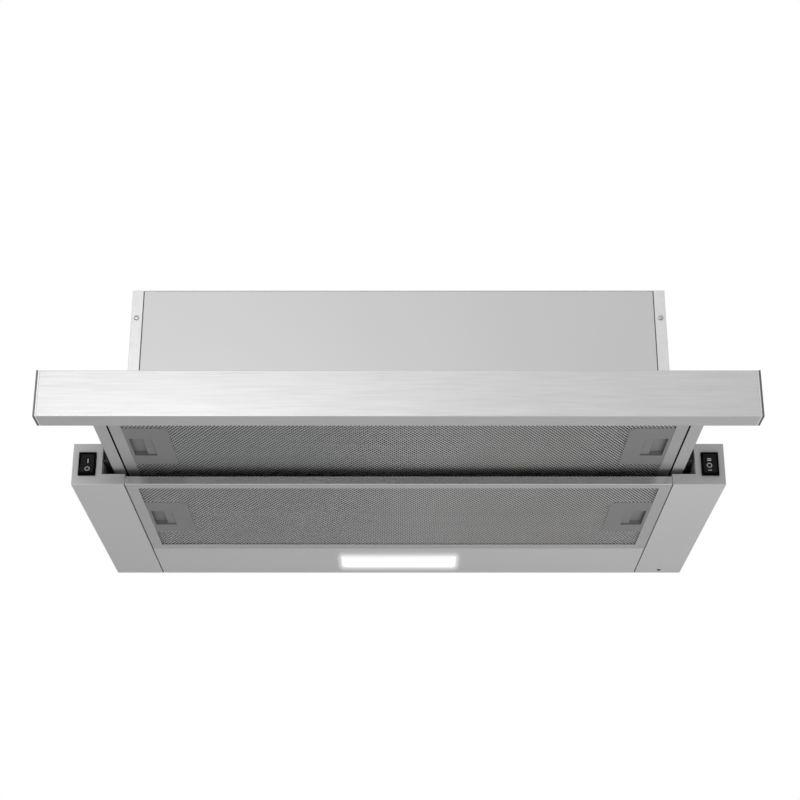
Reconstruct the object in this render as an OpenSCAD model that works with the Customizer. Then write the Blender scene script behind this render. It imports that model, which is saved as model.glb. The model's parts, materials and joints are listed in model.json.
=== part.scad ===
// Pull out range hood for a 600 mm wall cabinet, drawn with its drawer pulled out.
// X runs to the right, Y back to the wall and Z up. The origin is the middle of the
// cabinet fixing holes, on the top plane of the base, which hangs under the cabinet.

/* [Base] */
// Width of the base and of the fascia
base_w = 598; // [590:1:606]
// Depth of the base from its front face to the wall
base_d = 280; // [274:1:300]
// Height of the base under the cabinet
base_h = 40; // [39:0.5:46]
// Thickness of the folded sheet
sheet = 1; // [0.8:0.1:1.2]
// Width of each switch box beside the drawer
switch_box_w = 27.2; // [24:0.2:30]
// Width of the ledge beside each switch box
ledge_w = 21.5; // [20:0.5:24]
// Height of the ledge
ledge_h = 10.4; // [10:0.2:12]
// Height of the lamp panel
lamp_panel_h = 14; // [12.5:0.5:15]

/* [Casing] */
// Distance from the side of the base to the side of the casing
casing_inset = 44; // [38:1:60]
// Height of the casing above the base
casing_h = 160; // [158:1:200]
// Distance from the base front to the casing front
casing_setback = 4; // [2:0.5:8]
// Width of each front flange
flange_w = 10.5; // [9:0.5:14]

/* [Drawer] */
// Travel of the drawer
travel = 154; // [120:2:156]
// Gap between the top of the fascia and the cabinet
fascia_gap = 2; // [1:0.5:3]
// Depth of the fascia channel
fascia_d = 21.3; // [18:0.1:24]
// How far the fascia hangs below the base
fascia_drop = 3; // [2:0.5:5]
// Thickness of each end cap
cap_t = 3; // [2:0.5:4]
// Underside of the drawer above the underside of the base
drawer_lift = 16; // [15.5:0.1:16.5]
// Width of a ball slide between rail and switch box
slide_t = 9.5; // [9.2:0.1:10]
// Height of a ball slide
slide_h = 12; // [11.4:0.2:13]

/* [Grease filters] */
// Depth of the lamp panel behind the cassette in the base
lamp_panel_d = 86; // [80:1:100]
// Height of a cassette
cassette_h = 8.3; // [8:0.1:9]
// Width of the frame strip at the sides
side_strip = 10.8; // [9:0.2:14]
// Width of the frame strip at the front
front_strip = 10.5; // [9:0.5:14]
// Width of the frame strip at the rear
rear_strip = 11.9; // [9:0.1:14]
// Sheet of the cassette frame
frame_t = 0.8; // [0.6:0.1:0.9]
// Width of a latch plate
latch_plate_w = 38.7; // [36:0.1:44]
// Length of a latch plate
latch_plate_l = 87.4; // [70:0.2:100]
// Travel of a latch tongue
latch_travel = 6; // [5:0.5:6.5]

/* [Lamp and switches] */
// Length of the lamp window
window_l = 117; // [90:1:140]
// Width of the lamp window
window_w = 38; // [30:1:44]
// Corner radius of the lamp window
window_r = 5; // [3:0.5:12]
// Width of a switch bezel
bezel_w = 16; // [15:0.2:17]
// Height of a switch bezel
bezel_h = 22.5; // [21:0.1:23]
// Tilt of a rocker
rocker_tilt = 10; // [6:1:12]

/* [Blower and duct] */
// Outside diameter of the duct collar
duct_d = 120; // [110:1:124]
// Height of the duct collar
collar_h = 45; // [36:1:60]
// Width of the blower between its end plates
blower_w = 190; // [180:2:200]
// Height that the scroll and its neck take round the impeller
blower_room = 44; // [42:1:54]
// Number of blades
blades = 32; // [24:1:36]
// Gap between the motor and the blades around it
motor_gap = 10; // [9:0.5:13]
// How far a charcoal filter reaches past the impeller
charcoal_over = 12; // [8:0.5:14]
// Thickness of a charcoal filter
charcoal_t = 28; // [24:1:30]

/* [Cabinet fixing] */
// Distance from the side of the base to the fixing holes
fixing_inset = 18; // [15:1:21]
// Hole spacing front to back
fixing_y = 200; // [160:5:230]
// Diameter of a fixing hole
fixing_d = 4.5; // [4:0.5:5.5]

/* [Hidden] */
$fn = 96;

// Overrun of a cut, and the gaps that keep pieces apart
over = 0.5;
gap = 0.3;
seam = 0.4;

// Planes of the base: front, wall and underside
front_y = -base_d / 2;
wall_y = base_d / 2;
under_z = -base_h;
half_w = base_w / 2;
casing_w = base_w - 2 * casing_inset;
fixing_x = base_w - 2 * fixing_inset;
box_x = half_w - switch_box_w;
ledge_x = box_x - ledge_w;
ledge_top_z = under_z + ledge_h;
half_casing = casing_w / 2;
wing_in_x = half_casing - flange_w;

// Pan head screws: thread and clearance radii, length, head
screw_r = 1.9;
screw_hole_r = 2.1;
screw_l = 8;
short_screw_l = 2 * sheet + over;
collar_flange_t = 1.2;
collar_screw_l = collar_flange_t + sheet;
screw_head_r = 3.6;
screw_head_h = 2.2;
screw_slot_w = 1;
screw_slot_d = 0.9;

// Casing planes
casing_front_y = front_y + casing_setback;
hem_t = 2 * sheet;
panel_y = casing_front_y + hem_t;
back_y = wall_y - sheet;
lid_z = casing_h - sheet;
front_screw_x = half_casing - flange_w / 2;
front_screw_drop = 30;
front_screw_z = casing_h - front_screw_drop;
rim_screw_inset = 5;
rim_screw_x = half_casing - rim_screw_inset;
rim_screw_shares = [-0.36, 0, 0.36];
front_panel_lap = 8;
earth_screw_from_box = 3.5;
earth_screw_from_wall = 10.6;

// Drawer planes and its rails
drawer_y = front_y - travel;
fascia_h = base_h + fascia_drop - fascia_gap;
rail_grip = 100;
slide_room = 30;
drawer_z = under_z + drawer_lift;
fascia_top_z = under_z - fascia_drop + fascia_h;
rail_x = box_x - slide_t;
cover_z = fascia_top_z - sheet;
rail_top_z = cover_z - sheet;
rail_back_y = front_y + rail_grip;
cover_lap = 12;
slide_len = base_d - slide_room;
slide_top_gap = 0.5;
slide_z = rail_top_z - slide_top_gap - slide_h / 2;
slide_inset = 2;
outer_share = 0.72;
inner_share = 0.57;
inner_slide_h = slide_h / 3;
ball_count = 6;
ball_fit = 0.1;
ball_rim = 0.6;
retainer_t = 0.8;
cap_plug = 6;
cap_fit = 0.1;
rear_bar_d = 12;
drawer_screw_shares = [-0.7, 0, 0.7];

// Cassettes
cassette_d = base_d - lamp_panel_d - seam;
cassette_from_fascia = 4;
cassette_x = ledge_x - seam;
mesh_x = cassette_x - side_strip;
base_cassette_y = front_y;
drawer_cassette_y = drawer_y + cassette_from_fascia;
hook_w = 16;
hook_l = 3;
hook_t = 1.6;
hook_z = 3.2;
hook_x_share = 0.6;

// Latches, measured inwards from the edge of the frame's opening
latch_y = (cassette_d + front_strip - rear_strip) / 2;
latch_r = 8;
plate_drop = 0.4;
plate_t = 1.5;
roof_t = 0.8;
pocket_in = 2.6;
pocket_w = 19.8;
pocket_l = 42.6;
pocket_shift = 1.5;
finger_w = 11.4;
slider_l = 46;
slider_t = 1.3;
tab_back = 2;
tongue_w = 18;
tongue_shy = 1.5;
tongue_reach = latch_travel - tongue_shy;
bay_end = 1.5;
spring_wire_r = 0.3;
spring_r = 1.5;
spring_turns = 6;

// Lamp panel
lamp_panel_y = wall_y - lamp_panel_d;
window_from_wall = 40.3;
window_y = wall_y - window_from_wall;
diffuser_t = 2;
diffuser_wall_h = 7;
board_t = 1.6;
lamp_count = 6;
lamp_size = 5;
lamp_h = 1;
driver_l = 84;
driver_w = 34;
driver_h = 10.5;
driver_gap = 29.5;
driver_lug = 5;
driver_x = window_l / 2 + driver_gap + driver_l / 2;

// Switches
switch_off = 0.2;
switch_rise = 19.8;
switch_x = half_w - switch_box_w / 2 - switch_off;
switch_z = under_z + switch_rise;
bezel_t = 2;
cut_margin = 0.8;
switch_body_d = 18;
switch_wall = 0.6;
terminal_w = 5;
terminal_t = 0.8;
terminal_l = 7;
rocker_side_gap = 0.3;
rocker_r = 9.4;
rocker_dip = 1.5;
rocker_axle_r = 1.2;
axle_fit = 0.1;

// Blower: spiral angles are turned from +Y towards +Z
duct_y = 20;
impeller_d = casing_h - blower_room;
charcoal_d = impeller_d + 2 * charcoal_over;
tongue_angle = 110;
spiral_end = 360;
tongue_gap = 5;
spiral_growth = 24;
cut_r = impeller_d / 2 + tongue_gap;
end_r = cut_r + spiral_growth;
fan_y = duct_y - (end_r + cut_r * cos(tongue_angle)) / 2;
wrap_t = 1.2;
bottom_r = cut_r + spiral_growth * (270 - tongue_angle) / (spiral_end - tongue_angle);
scroll_lift = 2;
fan_z = bottom_r + wrap_t + scroll_lift;
spiral_step = 5;
neck_flange = 12;
blade_depth = 12;
blade_t = 1.2;
blade_lean = 28;
ring_t = 1.6;
impeller_side_gap = 7;
disc_t = 2;
shaft_r = 4;
shaft_fit = 0.05;
hub_r = 12;
hub_l = 20;
inlet_step = 11;
inlet_r = impeller_d / 2 - inlet_step;
inlet_lip = 3;
motor_d = impeller_d - 2 * blade_depth - 2 * motor_gap;
motor_l = 60;
motor_wall = 1.5;
bush_l = 9;
bush_r = 9;
stator_t = 14;
rotor_gap = 0.5;
guard_rim = 8;
guard_t = 3;
guard_hub_r = 21.5;
guard_hub_wall = 2;
guard_ribs = 6;
guard_rib_w = 3;
lug_w = 8;
lug_t = 2.6;
lug_out = 3;

// Charcoal filters
charcoal_bore_r = 22;
charcoal_wall = 1.6;
charcoal_rim_t = 3;
charcoal_dish = 5;
grille_rings = 9;
grille_ring_w = 1.2;
grille_ring_t = 1.8;
grille_ribs = 8;
grille_rib_w = 1.4;
twist = 30;

// Collar and its flaps
collar_wall = 1.5;
collar_flange_w = 15;
collar_screw_out = 8;
collar_screw_ring = duct_d + 2 * collar_screw_out;
flap_rise = 14;
flap_z = casing_h + flap_rise;
flap_t = 1;
flap_gap = 1;
flap_stop_w = 3;
flap_stop_t = 2;
pin_r = 1.5;
pin_fit = 0.1;
knuckle_r = 2.7;
knuckles = 4;

// Electric boxes
terminal_box_inset = 25;
terminal_box_w = 88;
terminal_box_h = 60;
terminal_box_d = 34;
terminal_box_z = 70;
terminal_box_x = half_casing - terminal_box_inset - terminal_box_w / 2;
box_wall = 2;
gland_inset = 50;
gland_x = half_casing - gland_inset;
gland_y = wall_y - gland_inset;
gland_r = 8;
gland_bore_r = 4;
gland_nut_r = 12;
gland_nut_t = 5;
gland_up = 22;
gland_down = 12;
cap_r = 17;
cap_l = 60;
cap_inset = 75;
cap_x = cap_inset - half_casing;
cap_clip_w = 12;
cap_z = 90;

steel = "silver";
zinc = "lightgray";
plastic = [0.12, 0.12, 0.12];

// A block between two corners given as ranges
module block(x, y, z) {
  translate([x[0], y[0], z[0]])
    cube([x[1] - x[0], y[1] - y[0], z[1] - z[0]]);
}

// A cylinder that runs along X from a to b
module rod_x(r, a, b) {
  translate([a, 0, 0]) rotate([0, 90, 0]) cylinder(r = r, h = b - a);
}

// Side -1 is the left one, drawn as the mirror image of the right
module on_side(side) {
  mirror([side < 0 ? 1 : 0, 0, 0]) children();
}

// Every place of the casing's rim screws along one side
module rim_places() {
  for (share = rim_screw_shares) translate([rim_screw_x, share * base_d, 0]) children();
}

// One pan head screw, head up, its shank reaching down from the origin
module pan_screw(length = screw_l) {
  difference() {
    union() {
      translate([0, 0, -length]) cylinder(r = screw_r, h = length);
      cylinder(r = screw_head_r, h = screw_head_h);
    }
    translate([0, 0, screw_head_h - screw_slot_d])
      block([-screw_head_r, screw_head_r], [-screw_slot_w / 2, screw_slot_w / 2],
            [0, screw_slot_d + over]);
    translate([0, 0, screw_head_h - screw_slot_d])
      block([-screw_slot_w / 2, screw_slot_w / 2], [-screw_head_r, screw_head_r],
            [0, screw_slot_d + over]);
  }
}

// The hole that a screw passes, long enough for two sheets
module screw_hole() {
  translate([0, 0, -screw_l]) cylinder(r = screw_hole_r, h = 2 * screw_l);
}

// Turns a screw so that its head faces the front
module facing_front() {
  rotate([90, 0, 0]) children();
}

// Front panel of the casing, set back behind the flanges
module casing_front_panel() {
  half = half_casing - flange_w + front_panel_lap;
  color(steel) difference() {
    union() {
      block([-half, half], [panel_y, panel_y + sheet], [0, lid_z]);
      block([-half, half], [panel_y, panel_y + flange_w], [lid_z - sheet, lid_z]);
      block([-wing_in_x + gap, wing_in_x - gap], [panel_y, panel_y + flange_w], [0, sheet]);
    }
    for (side = [-1, 1]) translate([side * front_screw_x, casing_front_y, front_screw_z])
      facing_front() screw_hole();
  }
}

// One side of the casing: front hem, wall, and flanges under the lid and on the wing
module casing_side(side) {
  color(zinc) on_side(side) difference() {
    union() {
      block([half_casing - sheet, half_casing], [casing_front_y, back_y], [0, lid_z]);
      block([wing_in_x, half_casing], [casing_front_y, panel_y], [0, lid_z]);
      block([wing_in_x, half_casing], [panel_y + 2 * sheet, back_y], [0, sheet]);
      block([wing_in_x, half_casing], [panel_y + flange_w + gap, back_y],
            [lid_z - sheet, lid_z]);
      block([wing_in_x, half_casing], [back_y - sheet, back_y], [0, lid_z]);
    }
    translate([front_screw_x, casing_front_y, front_screw_z]) facing_front() screw_hole();
    rim_places() screw_hole();
    translate([0, 0, casing_h]) rim_places() screw_hole();
  }
}

// Lid of the casing with the hole for the air and the cable gland
module casing_top_panel() {
  color(zinc) difference() {
    block([-half_casing, half_casing], [casing_front_y, wall_y], [lid_z, casing_h]);
    translate([0, duct_y, lid_z - over])
      cylinder(d = duct_d - 2 * collar_wall, h = sheet + 2 * over);
    for (side = [-1, 1]) on_side(side) translate([0, 0, casing_h]) rim_places() screw_hole();
    collar_screw_places() screw_hole();
    translate([gland_x, gland_y, lid_z - over]) cylinder(r = gland_r, h = sheet + 2 * over);
  }
}

// Back of the casing, which also closes the base above the lamp panel
module casing_back_panel() {
  color(zinc) union() {
    block([-half_casing, half_casing], [back_y, wall_y], [0, lid_z]);
    block([-ledge_x + gap, ledge_x - gap], [back_y, wall_y], [under_z + lamp_panel_h, over]);
  }
}

// All the pan head screws that hold the casing, the collar and the earth lead
module casing_screws() {
  color("gray") {
    for (side = [-1, 1]) {
      translate([side * front_screw_x, casing_front_y, front_screw_z]) facing_front() pan_screw();
      on_side(side) translate([0, 0, casing_h]) rim_places() pan_screw();
      on_side(side) translate([0, 0, sheet]) rim_places() pan_screw(short_screw_l);
    }
    collar_screw_places() pan_screw(collar_screw_l);
    earth_screw_place() pan_screw();
  }
}

// The one screw on the underside of the right channel
module earth_screw_place() {
  translate([box_x + earth_screw_from_box, wall_y - earth_screw_from_wall, under_z])
    rotate([180, 0, 0]) children();
}

// The screws of the collar flange stand on its upper face
module collar_screw_places() {
  for (turn = [45:90:315]) translate([0, duct_y, casing_h + collar_flange_t])
    rotate(turn) translate([collar_screw_ring / 2, 0, 0]) children();
}

// Section of a side channel as a closed loop: switch box with the ledge beside it
module channel_section(inset) {
  difference() {
    translate([ledge_x + inset, under_z + inset])
      square([half_w - ledge_x - 2 * inset, base_h - 2 * inset]);
    translate([ledge_x + inset - over, ledge_top_z - inset])
      square([ledge_w + over, base_h]);
  }
}

// A side channel: hollow box, ledge, closed ends and the wing that the casing stands on
module side_channel(side) {
  color(zinc) on_side(side) difference() {
    union() {
      translate([0, wall_y, 0]) rotate([90, 0, 0]) linear_extrude(height = base_d) difference() {
        channel_section(0);
        channel_section(sheet);
      }
      translate([0, front_y + sheet, 0]) rotate([90, 0, 0])
        linear_extrude(height = sheet) channel_section(0);
      block([wing_in_x, half_w], [front_y, wall_y], [-sheet, 0]);
      block([ledge_x, half_w], [back_y, wall_y], [under_z, 0]);
    }
    translate([switch_x, front_y, switch_z])
      block([cut_margin - bezel_w / 2, bezel_w / 2 - cut_margin], [-over, sheet + over],
            [cut_margin - bezel_h / 2, bezel_h / 2 - cut_margin]);
    tongue_slot(ledge_x, base_cassette_y, under_z);
    for (end = [-1, 1]) translate([fixing_x / 2, end * fixing_y / 2, -sheet - over])
      cylinder(d = fixing_d, h = sheet + 2 * over);
    rim_places() screw_hole();
    if (side > 0) earth_screw_place() screw_hole();
  }
}

// Slot for a latch tongue in the wall that starts at x
module tongue_slot(x, y, z) {
  translate([x, y + latch_y, z + slider_z()])
    block([-over, sheet + over], [-tongue_w / 2 - gap, tongue_w / 2 + gap], [-gap, slider_t + gap]);
}

// Height of the slider plate above the cassette's underside
function slider_z() = cassette_h - frame_t - roof_t - gap - slider_t;

// Pan behind the base cassette, with the lamp window and slots for the cassette's hooks
module light_panel() {
  half = cassette_x;
  color(steel) difference() {
    block([-half, half], [lamp_panel_y, wall_y], [under_z, under_z + lamp_panel_h]);
    block([sheet - half, half - sheet], [lamp_panel_y + sheet, wall_y - sheet],
          [under_z + sheet, under_z + lamp_panel_h + over]);
    translate([0, window_y, under_z - over]) linear_extrude(height = sheet + 2 * over) window_outline(0);
    hook_slots(base_cassette_y, under_z);
  }
}

// Outline of the lamp window with its rounded corners, grown by a margin
module window_outline(grow) {
  offset(r = window_r + grow)
    square([window_l - 2 * window_r, window_w - 2 * window_r], center = true);
}

// Slots that take the two hooks at the back of a cassette
module hook_slots(y, z) {
  for (end = [-1, 1]) translate([end * hook_x_share * cassette_x, y + cassette_d, z + hook_z])
    block([-hook_w / 2 - gap, hook_w / 2 + gap], [-over, hook_l + seam + over],
          [-gap, hook_t + gap]);
}

// Diffuser tray that fills the lamp window
module light_diffuser() {
  color("white") translate([0, window_y, under_z]) difference() {
    union() {
      linear_extrude(height = sheet) window_outline(-gap / 2);
      translate([0, 0, sheet]) linear_extrude(height = diffuser_wall_h) window_outline(sheet);
    }
    translate([0, 0, diffuser_t]) linear_extrude(height = diffuser_wall_h + over) window_outline(-sheet);
  }
}

// Lamp board lying on the rim of the diffuser, with its light sources underneath
module lamp_board() {
  board_z = under_z + sheet + diffuser_wall_h;
  color("ghostwhite") translate([0, window_y, board_z]) {
    linear_extrude(height = board_t) window_outline(sheet);
    for (i = [0:lamp_count - 1])
      translate([(i + 0.5 - lamp_count / 2) * window_l / (lamp_count + 1), 0, -lamp_h])
        linear_extrude(height = lamp_h) square(lamp_size, center = true);
  }
}

// Driver of the lamp, on the floor of the lamp panel
module lamp_driver() {
  color("white") translate([driver_x, window_y, under_z + sheet]) {
    block([-driver_l / 2, driver_l / 2], [-driver_w / 2, driver_w / 2], [0, driver_h]);
    for (end = [-1, 1]) translate([end * driver_l / 2, 0, 0])
      block([-driver_lug, driver_lug], [-driver_lug, driver_lug], [0, sheet]);
  }
}

// Body of a rocker switch: bezel, case around the rocker and terminals
module switch_body(side, terminals) {
  case_w = bezel_w - 2 * cut_margin - gap;
  case_h = bezel_h - 2 * cut_margin - gap;
  cavity_w = case_w - 2 * switch_wall;
  color(plastic) translate([side * switch_x, front_y, switch_z]) {
    difference() {
      union() {
        block([-bezel_w / 2, bezel_w / 2], [-bezel_t, 0], [-bezel_h / 2, bezel_h / 2]);
        block([-case_w / 2, case_w / 2], [-over, switch_body_d], [-case_h / 2, case_h / 2]);
      }
      rod_x(rocker_r + gap, -cavity_w / 2, cavity_w / 2);
      block([-cavity_w / 2, cavity_w / 2], [-bezel_t - over, 0], [-rocker_r - gap, rocker_r + gap]);
    }
    rod_x(rocker_axle_r - axle_fit, -case_w / 2, case_w / 2);
    for (i = [0:terminals - 1])
      translate([0, switch_body_d, (i - (terminals - 1) / 2) * case_h / (terminals + 1)])
        block([-terminal_w / 2, terminal_w / 2], [0, terminal_l], [-terminal_t / 2, terminal_t / 2]);
  }
}

// A rocker: a drum around the axle cut by two shallow front faces
module rocker(side, tilt) {
  width = bezel_w - 2 * cut_margin - gap - 2 * switch_wall - 2 * rocker_side_gap;
  color(plastic) translate([side * switch_x, front_y, switch_z]) rotate([tilt, 0, 0]) difference() {
    rod_x(rocker_r, -width / 2, width / 2);
    for (half = [-1, 1]) rotate([half * rocker_tilt, 0, 0])
      block([-width, width], [-2 * rocker_r, -rocker_dip],
            half < 0 ? [-2 * rocker_r, 0] : [0, 2 * rocker_r]);
    block([-width, width], [rocker_r / 2, 2 * rocker_r], [-rocker_r, rocker_r]);
    rod_x(rocker_axle_r, -width, width);
  }
}

// Outer member of a slide, fixed to the switch box
module outer_slide(side) {
  color(steel) on_side(side) translate([0, front_y + slide_inset, slide_z]) difference() {
    block([box_x - outer_share * slide_t, box_x], [0, slide_len], [-slide_h / 2, slide_h / 2]);
    block([box_x - slide_t, box_x - sheet], [-over, slide_len + over],
          [sheet - slide_h / 2, slide_h / 2 - sheet]);
  }
}

// Inner member of a slide, fixed to the drawer rail
module inner_slide(side) {
  half_h = inner_slide_h / 2;
  color(steel) on_side(side) translate([0, rail_back_y - slide_len, slide_z]) difference() {
    block([rail_x, rail_x + inner_share * slide_t], [0, slide_len], [-half_h, half_h]);
    block([rail_x + sheet, box_x], [-over, slide_len + over], [sheet - half_h, half_h - sheet]);
  }
}

// Places of the balls between the two members, in two lanes
module ball_places(length, lane_z) {
  for (lane = [-1, 1]) for (i = [0:ball_count - 1])
    translate([box_x - slide_t / 2, (i + 0.5) * length / ball_count, lane * lane_z]) children();
}

// Ball retainer between the two members, and the balls in its pockets
module ball_retainer(side) {
  length = rail_grip - 3 * slide_inset;
  lane_z = (slide_h / 2 - sheet + inner_slide_h / 2) / 2;
  ball_r = (slide_h / 2 - sheet - inner_slide_h / 2) / 2 - gap;
  edge_x = box_x - slide_t / 2 - ball_r - ball_rim;
  web_x = box_x - 2 * sheet;
  half_t = retainer_t / 2;
  color("goldenrod") on_side(side) translate([0, front_y + 2 * slide_inset, slide_z]) {
    difference() {
      union() {
        block([web_x - retainer_t, web_x], [0, length], [-lane_z - half_t, lane_z + half_t]);
        for (lane = [-1, 1]) translate([0, 0, lane * lane_z])
          block([edge_x, web_x], [0, length], [-half_t, half_t]);
      }
      ball_places(length, lane_z) translate([0, 0, -retainer_t])
        cylinder(r = ball_r + ball_fit, h = 2 * retainer_t);
    }
    ball_places(length, lane_z) sphere(r = ball_r, $fn = 32);
  }
}

// Channel shaped fascia across the whole front
module fascia_panel() {
  face_y = drawer_y - fascia_d;
  bottom_z = under_z - fascia_drop;
  half = half_w - cap_t;
  color(steel) difference() {
    block([-half, half], [face_y, drawer_y], [bottom_z, fascia_top_z]);
    block([-half_w, half_w], [face_y + sheet, drawer_y + over],
          [bottom_z + sheet, fascia_top_z - sheet]);
    drawer_screw_places() screw_hole();
  }
}

// End cap of the fascia
module fascia_cap(side) {
  face_y = drawer_y - fascia_d;
  bottom_z = under_z - fascia_drop;
  plug_x = [half_w - cap_t - cap_plug, half_w - cap_t];
  plug_y = [face_y + sheet + cap_fit, drawer_y - cap_fit];
  color("gray") on_side(side) union() {
    block([half_w - cap_t, half_w], [face_y, drawer_y], [bottom_z, fascia_top_z]);
    block(plug_x, plug_y, [bottom_z + sheet + cap_fit, bottom_z + cap_plug]);
    block(plug_x, plug_y, [fascia_top_z - cap_plug, fascia_top_z - sheet - cap_fit]);
  }
}

// Screws that hold the rails and the cover to the fascia and to the rear bar
module drawer_screw_places() {
  lip_y = drawer_y - fascia_d / 2;
  for (share = drawer_screw_shares) translate([share * rail_x, lip_y, fascia_top_z]) children();
}

// Screws of the drawer
module drawer_screws() {
  color("gray") drawer_screw_places() pan_screw();
}

// Rail of the drawer, a rectangular tube from the fascia back into the base
module drawer_rail(side) {
  rail_front_y = drawer_y - fascia_d + sheet;
  color(steel) on_side(side) difference() {
    block([ledge_x, rail_x], [rail_front_y, rail_back_y], [drawer_z, rail_top_z]);
    block([ledge_x + sheet, rail_x - sheet], [rail_front_y + sheet, rail_back_y + over],
          [drawer_z + sheet, rail_top_z - sheet]);
    tongue_slot(ledge_x, drawer_cassette_y, drawer_z);
  }
}

// Sheet that closes the drawer above, from the fascia to under the casing
module drawer_top_cover() {
  color(steel) difference() {
    block([-rail_x, rail_x], [drawer_y - fascia_d + sheet, front_y + cover_lap],
          [rail_top_z, rail_top_z + sheet]);
    drawer_screw_places() screw_hole();
  }
}

// Bar behind the drawer cassette, which ties the rails and takes the hooks
module drawer_rear_bar() {
  bar_y = drawer_cassette_y + cassette_d + seam;
  color(steel) difference() {
    block([-ledge_x, ledge_x], [bar_y, bar_y + rear_bar_d], [drawer_z, rail_top_z]);
    block([-ledge_x - over, ledge_x + over], [bar_y + sheet, bar_y + rear_bar_d + over],
          [drawer_z + sheet, rail_top_z - sheet]);
    hook_slots(drawer_cassette_y, drawer_z);
  }
}

// Folded frame of a grease filter with its two rear hooks
module cassette_frame(y, z) {
  color(steel) translate([0, y, z]) difference() {
    union() {
      block([-cassette_x, cassette_x], [0, cassette_d], [0, cassette_h]);
      for (end = [-1, 1]) translate([end * hook_x_share * cassette_x, cassette_d, hook_z])
        block([-hook_w / 2, hook_w / 2], [-over, hook_l], [0, hook_t]);
    }
    block([frame_t - cassette_x, cassette_x - frame_t], [frame_t, cassette_d - frame_t],
          [frame_t, cassette_h - frame_t]);
    block([-mesh_x, mesh_x], [front_strip, cassette_d - rear_strip], [-over, cassette_h + over]);
    for (side = [-1, 1]) on_side(side) tongue_slot(cassette_x - frame_t, 0, 0);
  }
}

// Pad of layered mesh inside a frame, cut round the latches
module cassette_mesh(y, z) {
  lip = frame_t + gap / 3;
  color("gray") translate([0, y, z]) difference() {
    block([lip - cassette_x, cassette_x - lip], [lip, cassette_d - lip],
          [frame_t, cassette_h - frame_t]);
    for (side = [-1, 1]) on_side(side)
      block([mesh_x - latch_plate_w - gap / 3, cassette_x],
            [latch_y - latch_plate_l / 2 - gap / 3, latch_y + latch_plate_l / 2 + gap / 3],
            [-over, cassette_h]);
  }
}

// Plates of a cassette's two latches
module latch_plates(y, z) {
  color("dimgray") for (side = [-1, 1]) on_side(side)
    translate([mesh_x, y + latch_y, z]) latch_housing();
}

// One latch housing: x is zero at the edge of the frame's opening and grows outwards
module latch_housing() {
  outer = side_strip - frame_t;
  half_l = latch_plate_l / 2;
  plate_top = plate_drop + plate_t;
  roof_z = cassette_h - frame_t - roof_t;
  bay_half = slider_l / 2 + gap;
  difference() {
    union() {
      block([-latch_plate_w, 0], [latch_r - half_l, half_l], [plate_drop, cassette_h - frame_t]);
      block([latch_r - latch_plate_w, 0], [-half_l, half_l], [plate_drop, cassette_h - frame_t]);
      translate([latch_r - latch_plate_w, latch_r - half_l, plate_drop])
        cylinder(r = latch_r, h = cassette_h - frame_t - plate_drop);
      block([-over, outer], [-half_l, half_l], [frame_t, cassette_h - frame_t]);
    }
    block([bay_end - latch_plate_w, outer + over], [-bay_half, bay_half], [plate_top, roof_z]);
    block([-pocket_in - pocket_w, -pocket_in],
          [pocket_shift - pocket_l / 2, pocket_shift + pocket_l / 2], [-over, plate_top + over]);
  }
}

// One sprung latch: finger tab, sliding plate and tongue, drawn locked
module latch_slider(side, y, z) {
  outer = side_strip - frame_t;
  tab_out = -pocket_in - finger_w;
  tab_in = -pocket_in - pocket_w - tab_back;
  base_z = slider_z();
  tab_z = plate_drop + plate_t + gap;
  half_l = slider_l / 2;
  color("dimgray") on_side(side) translate([mesh_x, y + latch_y, z]) union() {
    block([tab_in, outer - gap], [-half_l, half_l], [base_z, base_z + slider_t]);
    block([tab_in, tab_out], [-half_l, half_l], [tab_z, base_z + slider_t]);
    block([0, side_strip + seam + tongue_reach], [-tongue_w / 2, tongue_w / 2],
          [base_z, base_z + slider_t]);
  }
}

// Spring behind each slider, wound along X from the end of the bay to the tab
module latch_springs(y, z) {
  from_x = mesh_x - latch_plate_w + bay_end;
  mid_z = (plate_drop + plate_t + cassette_h - frame_t - roof_t) / 2;
  color("gray") for (side = [-1, 1]) on_side(side)
    translate([from_x, y + latch_y, z + mid_z]) spring_coil();
}

// Room between the end of the bay and the locked tab, and the coil that fills it
spring_room = latch_plate_w - bay_end - pocket_in - pocket_w - tab_back;
spring_seat = spring_wire_r + gap / 3;
spring_rings = 8;
spring_sides = 6;
spring_steps = spring_turns * spring_rings;
spring_rise = (spring_room - 2 * spring_seat) / spring_turns / (2 * PI * spring_r);

// Middle of the wire at a step, and one point on its rim
function wire_middle(i) =
  let (turn = i * 360 / spring_rings)
  [spring_seat + i * (spring_room - 2 * spring_seat) / spring_steps,
   spring_r * cos(turn), spring_r * sin(turn)];
function wire_rim(i, k) =
  let (turn = i * 360 / spring_rings, a = k * 360 / spring_sides,
    radial = [0, cos(turn), sin(turn)],
    across = [1, spring_rise * sin(turn), -spring_rise * cos(turn)] / norm([1, spring_rise]))
  wire_middle(i) + spring_wire_r * (cos(a) * radial + sin(a) * across);

// The wire as one tube with flat ends
module spring_coil() {
  last = spring_steps * spring_sides;
  points = [for (i = [0:spring_steps]) for (k = [0:spring_sides - 1]) wire_rim(i, k)];
  walls = [for (i = [0:spring_steps - 1]) for (k = [0:spring_sides - 1])
    let (a = i * spring_sides + k, b = i * spring_sides + (k + 1) % spring_sides)
    each [[a, b, b + spring_sides], [a, b + spring_sides, a + spring_sides]]];
  ends = [for (k = [1:spring_sides - 2]) each [[0, k + 1, k], [last, last + k, last + k + 1]]];
  polyhedron(points, concat(walls, ends));
}

// Least gap between neighbouring turns of a latch spring
echo(spring_gap = min([for (i = [0:spring_steps - spring_rings])
  norm(wire_middle(i + spring_rings) - wire_middle(i))]) - 2 * spring_wire_r);

// Radius of the scroll at an angle
function spiral_r(a) = cut_r + spiral_growth * (a - tongue_angle) / (spiral_end - tongue_angle);

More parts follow.
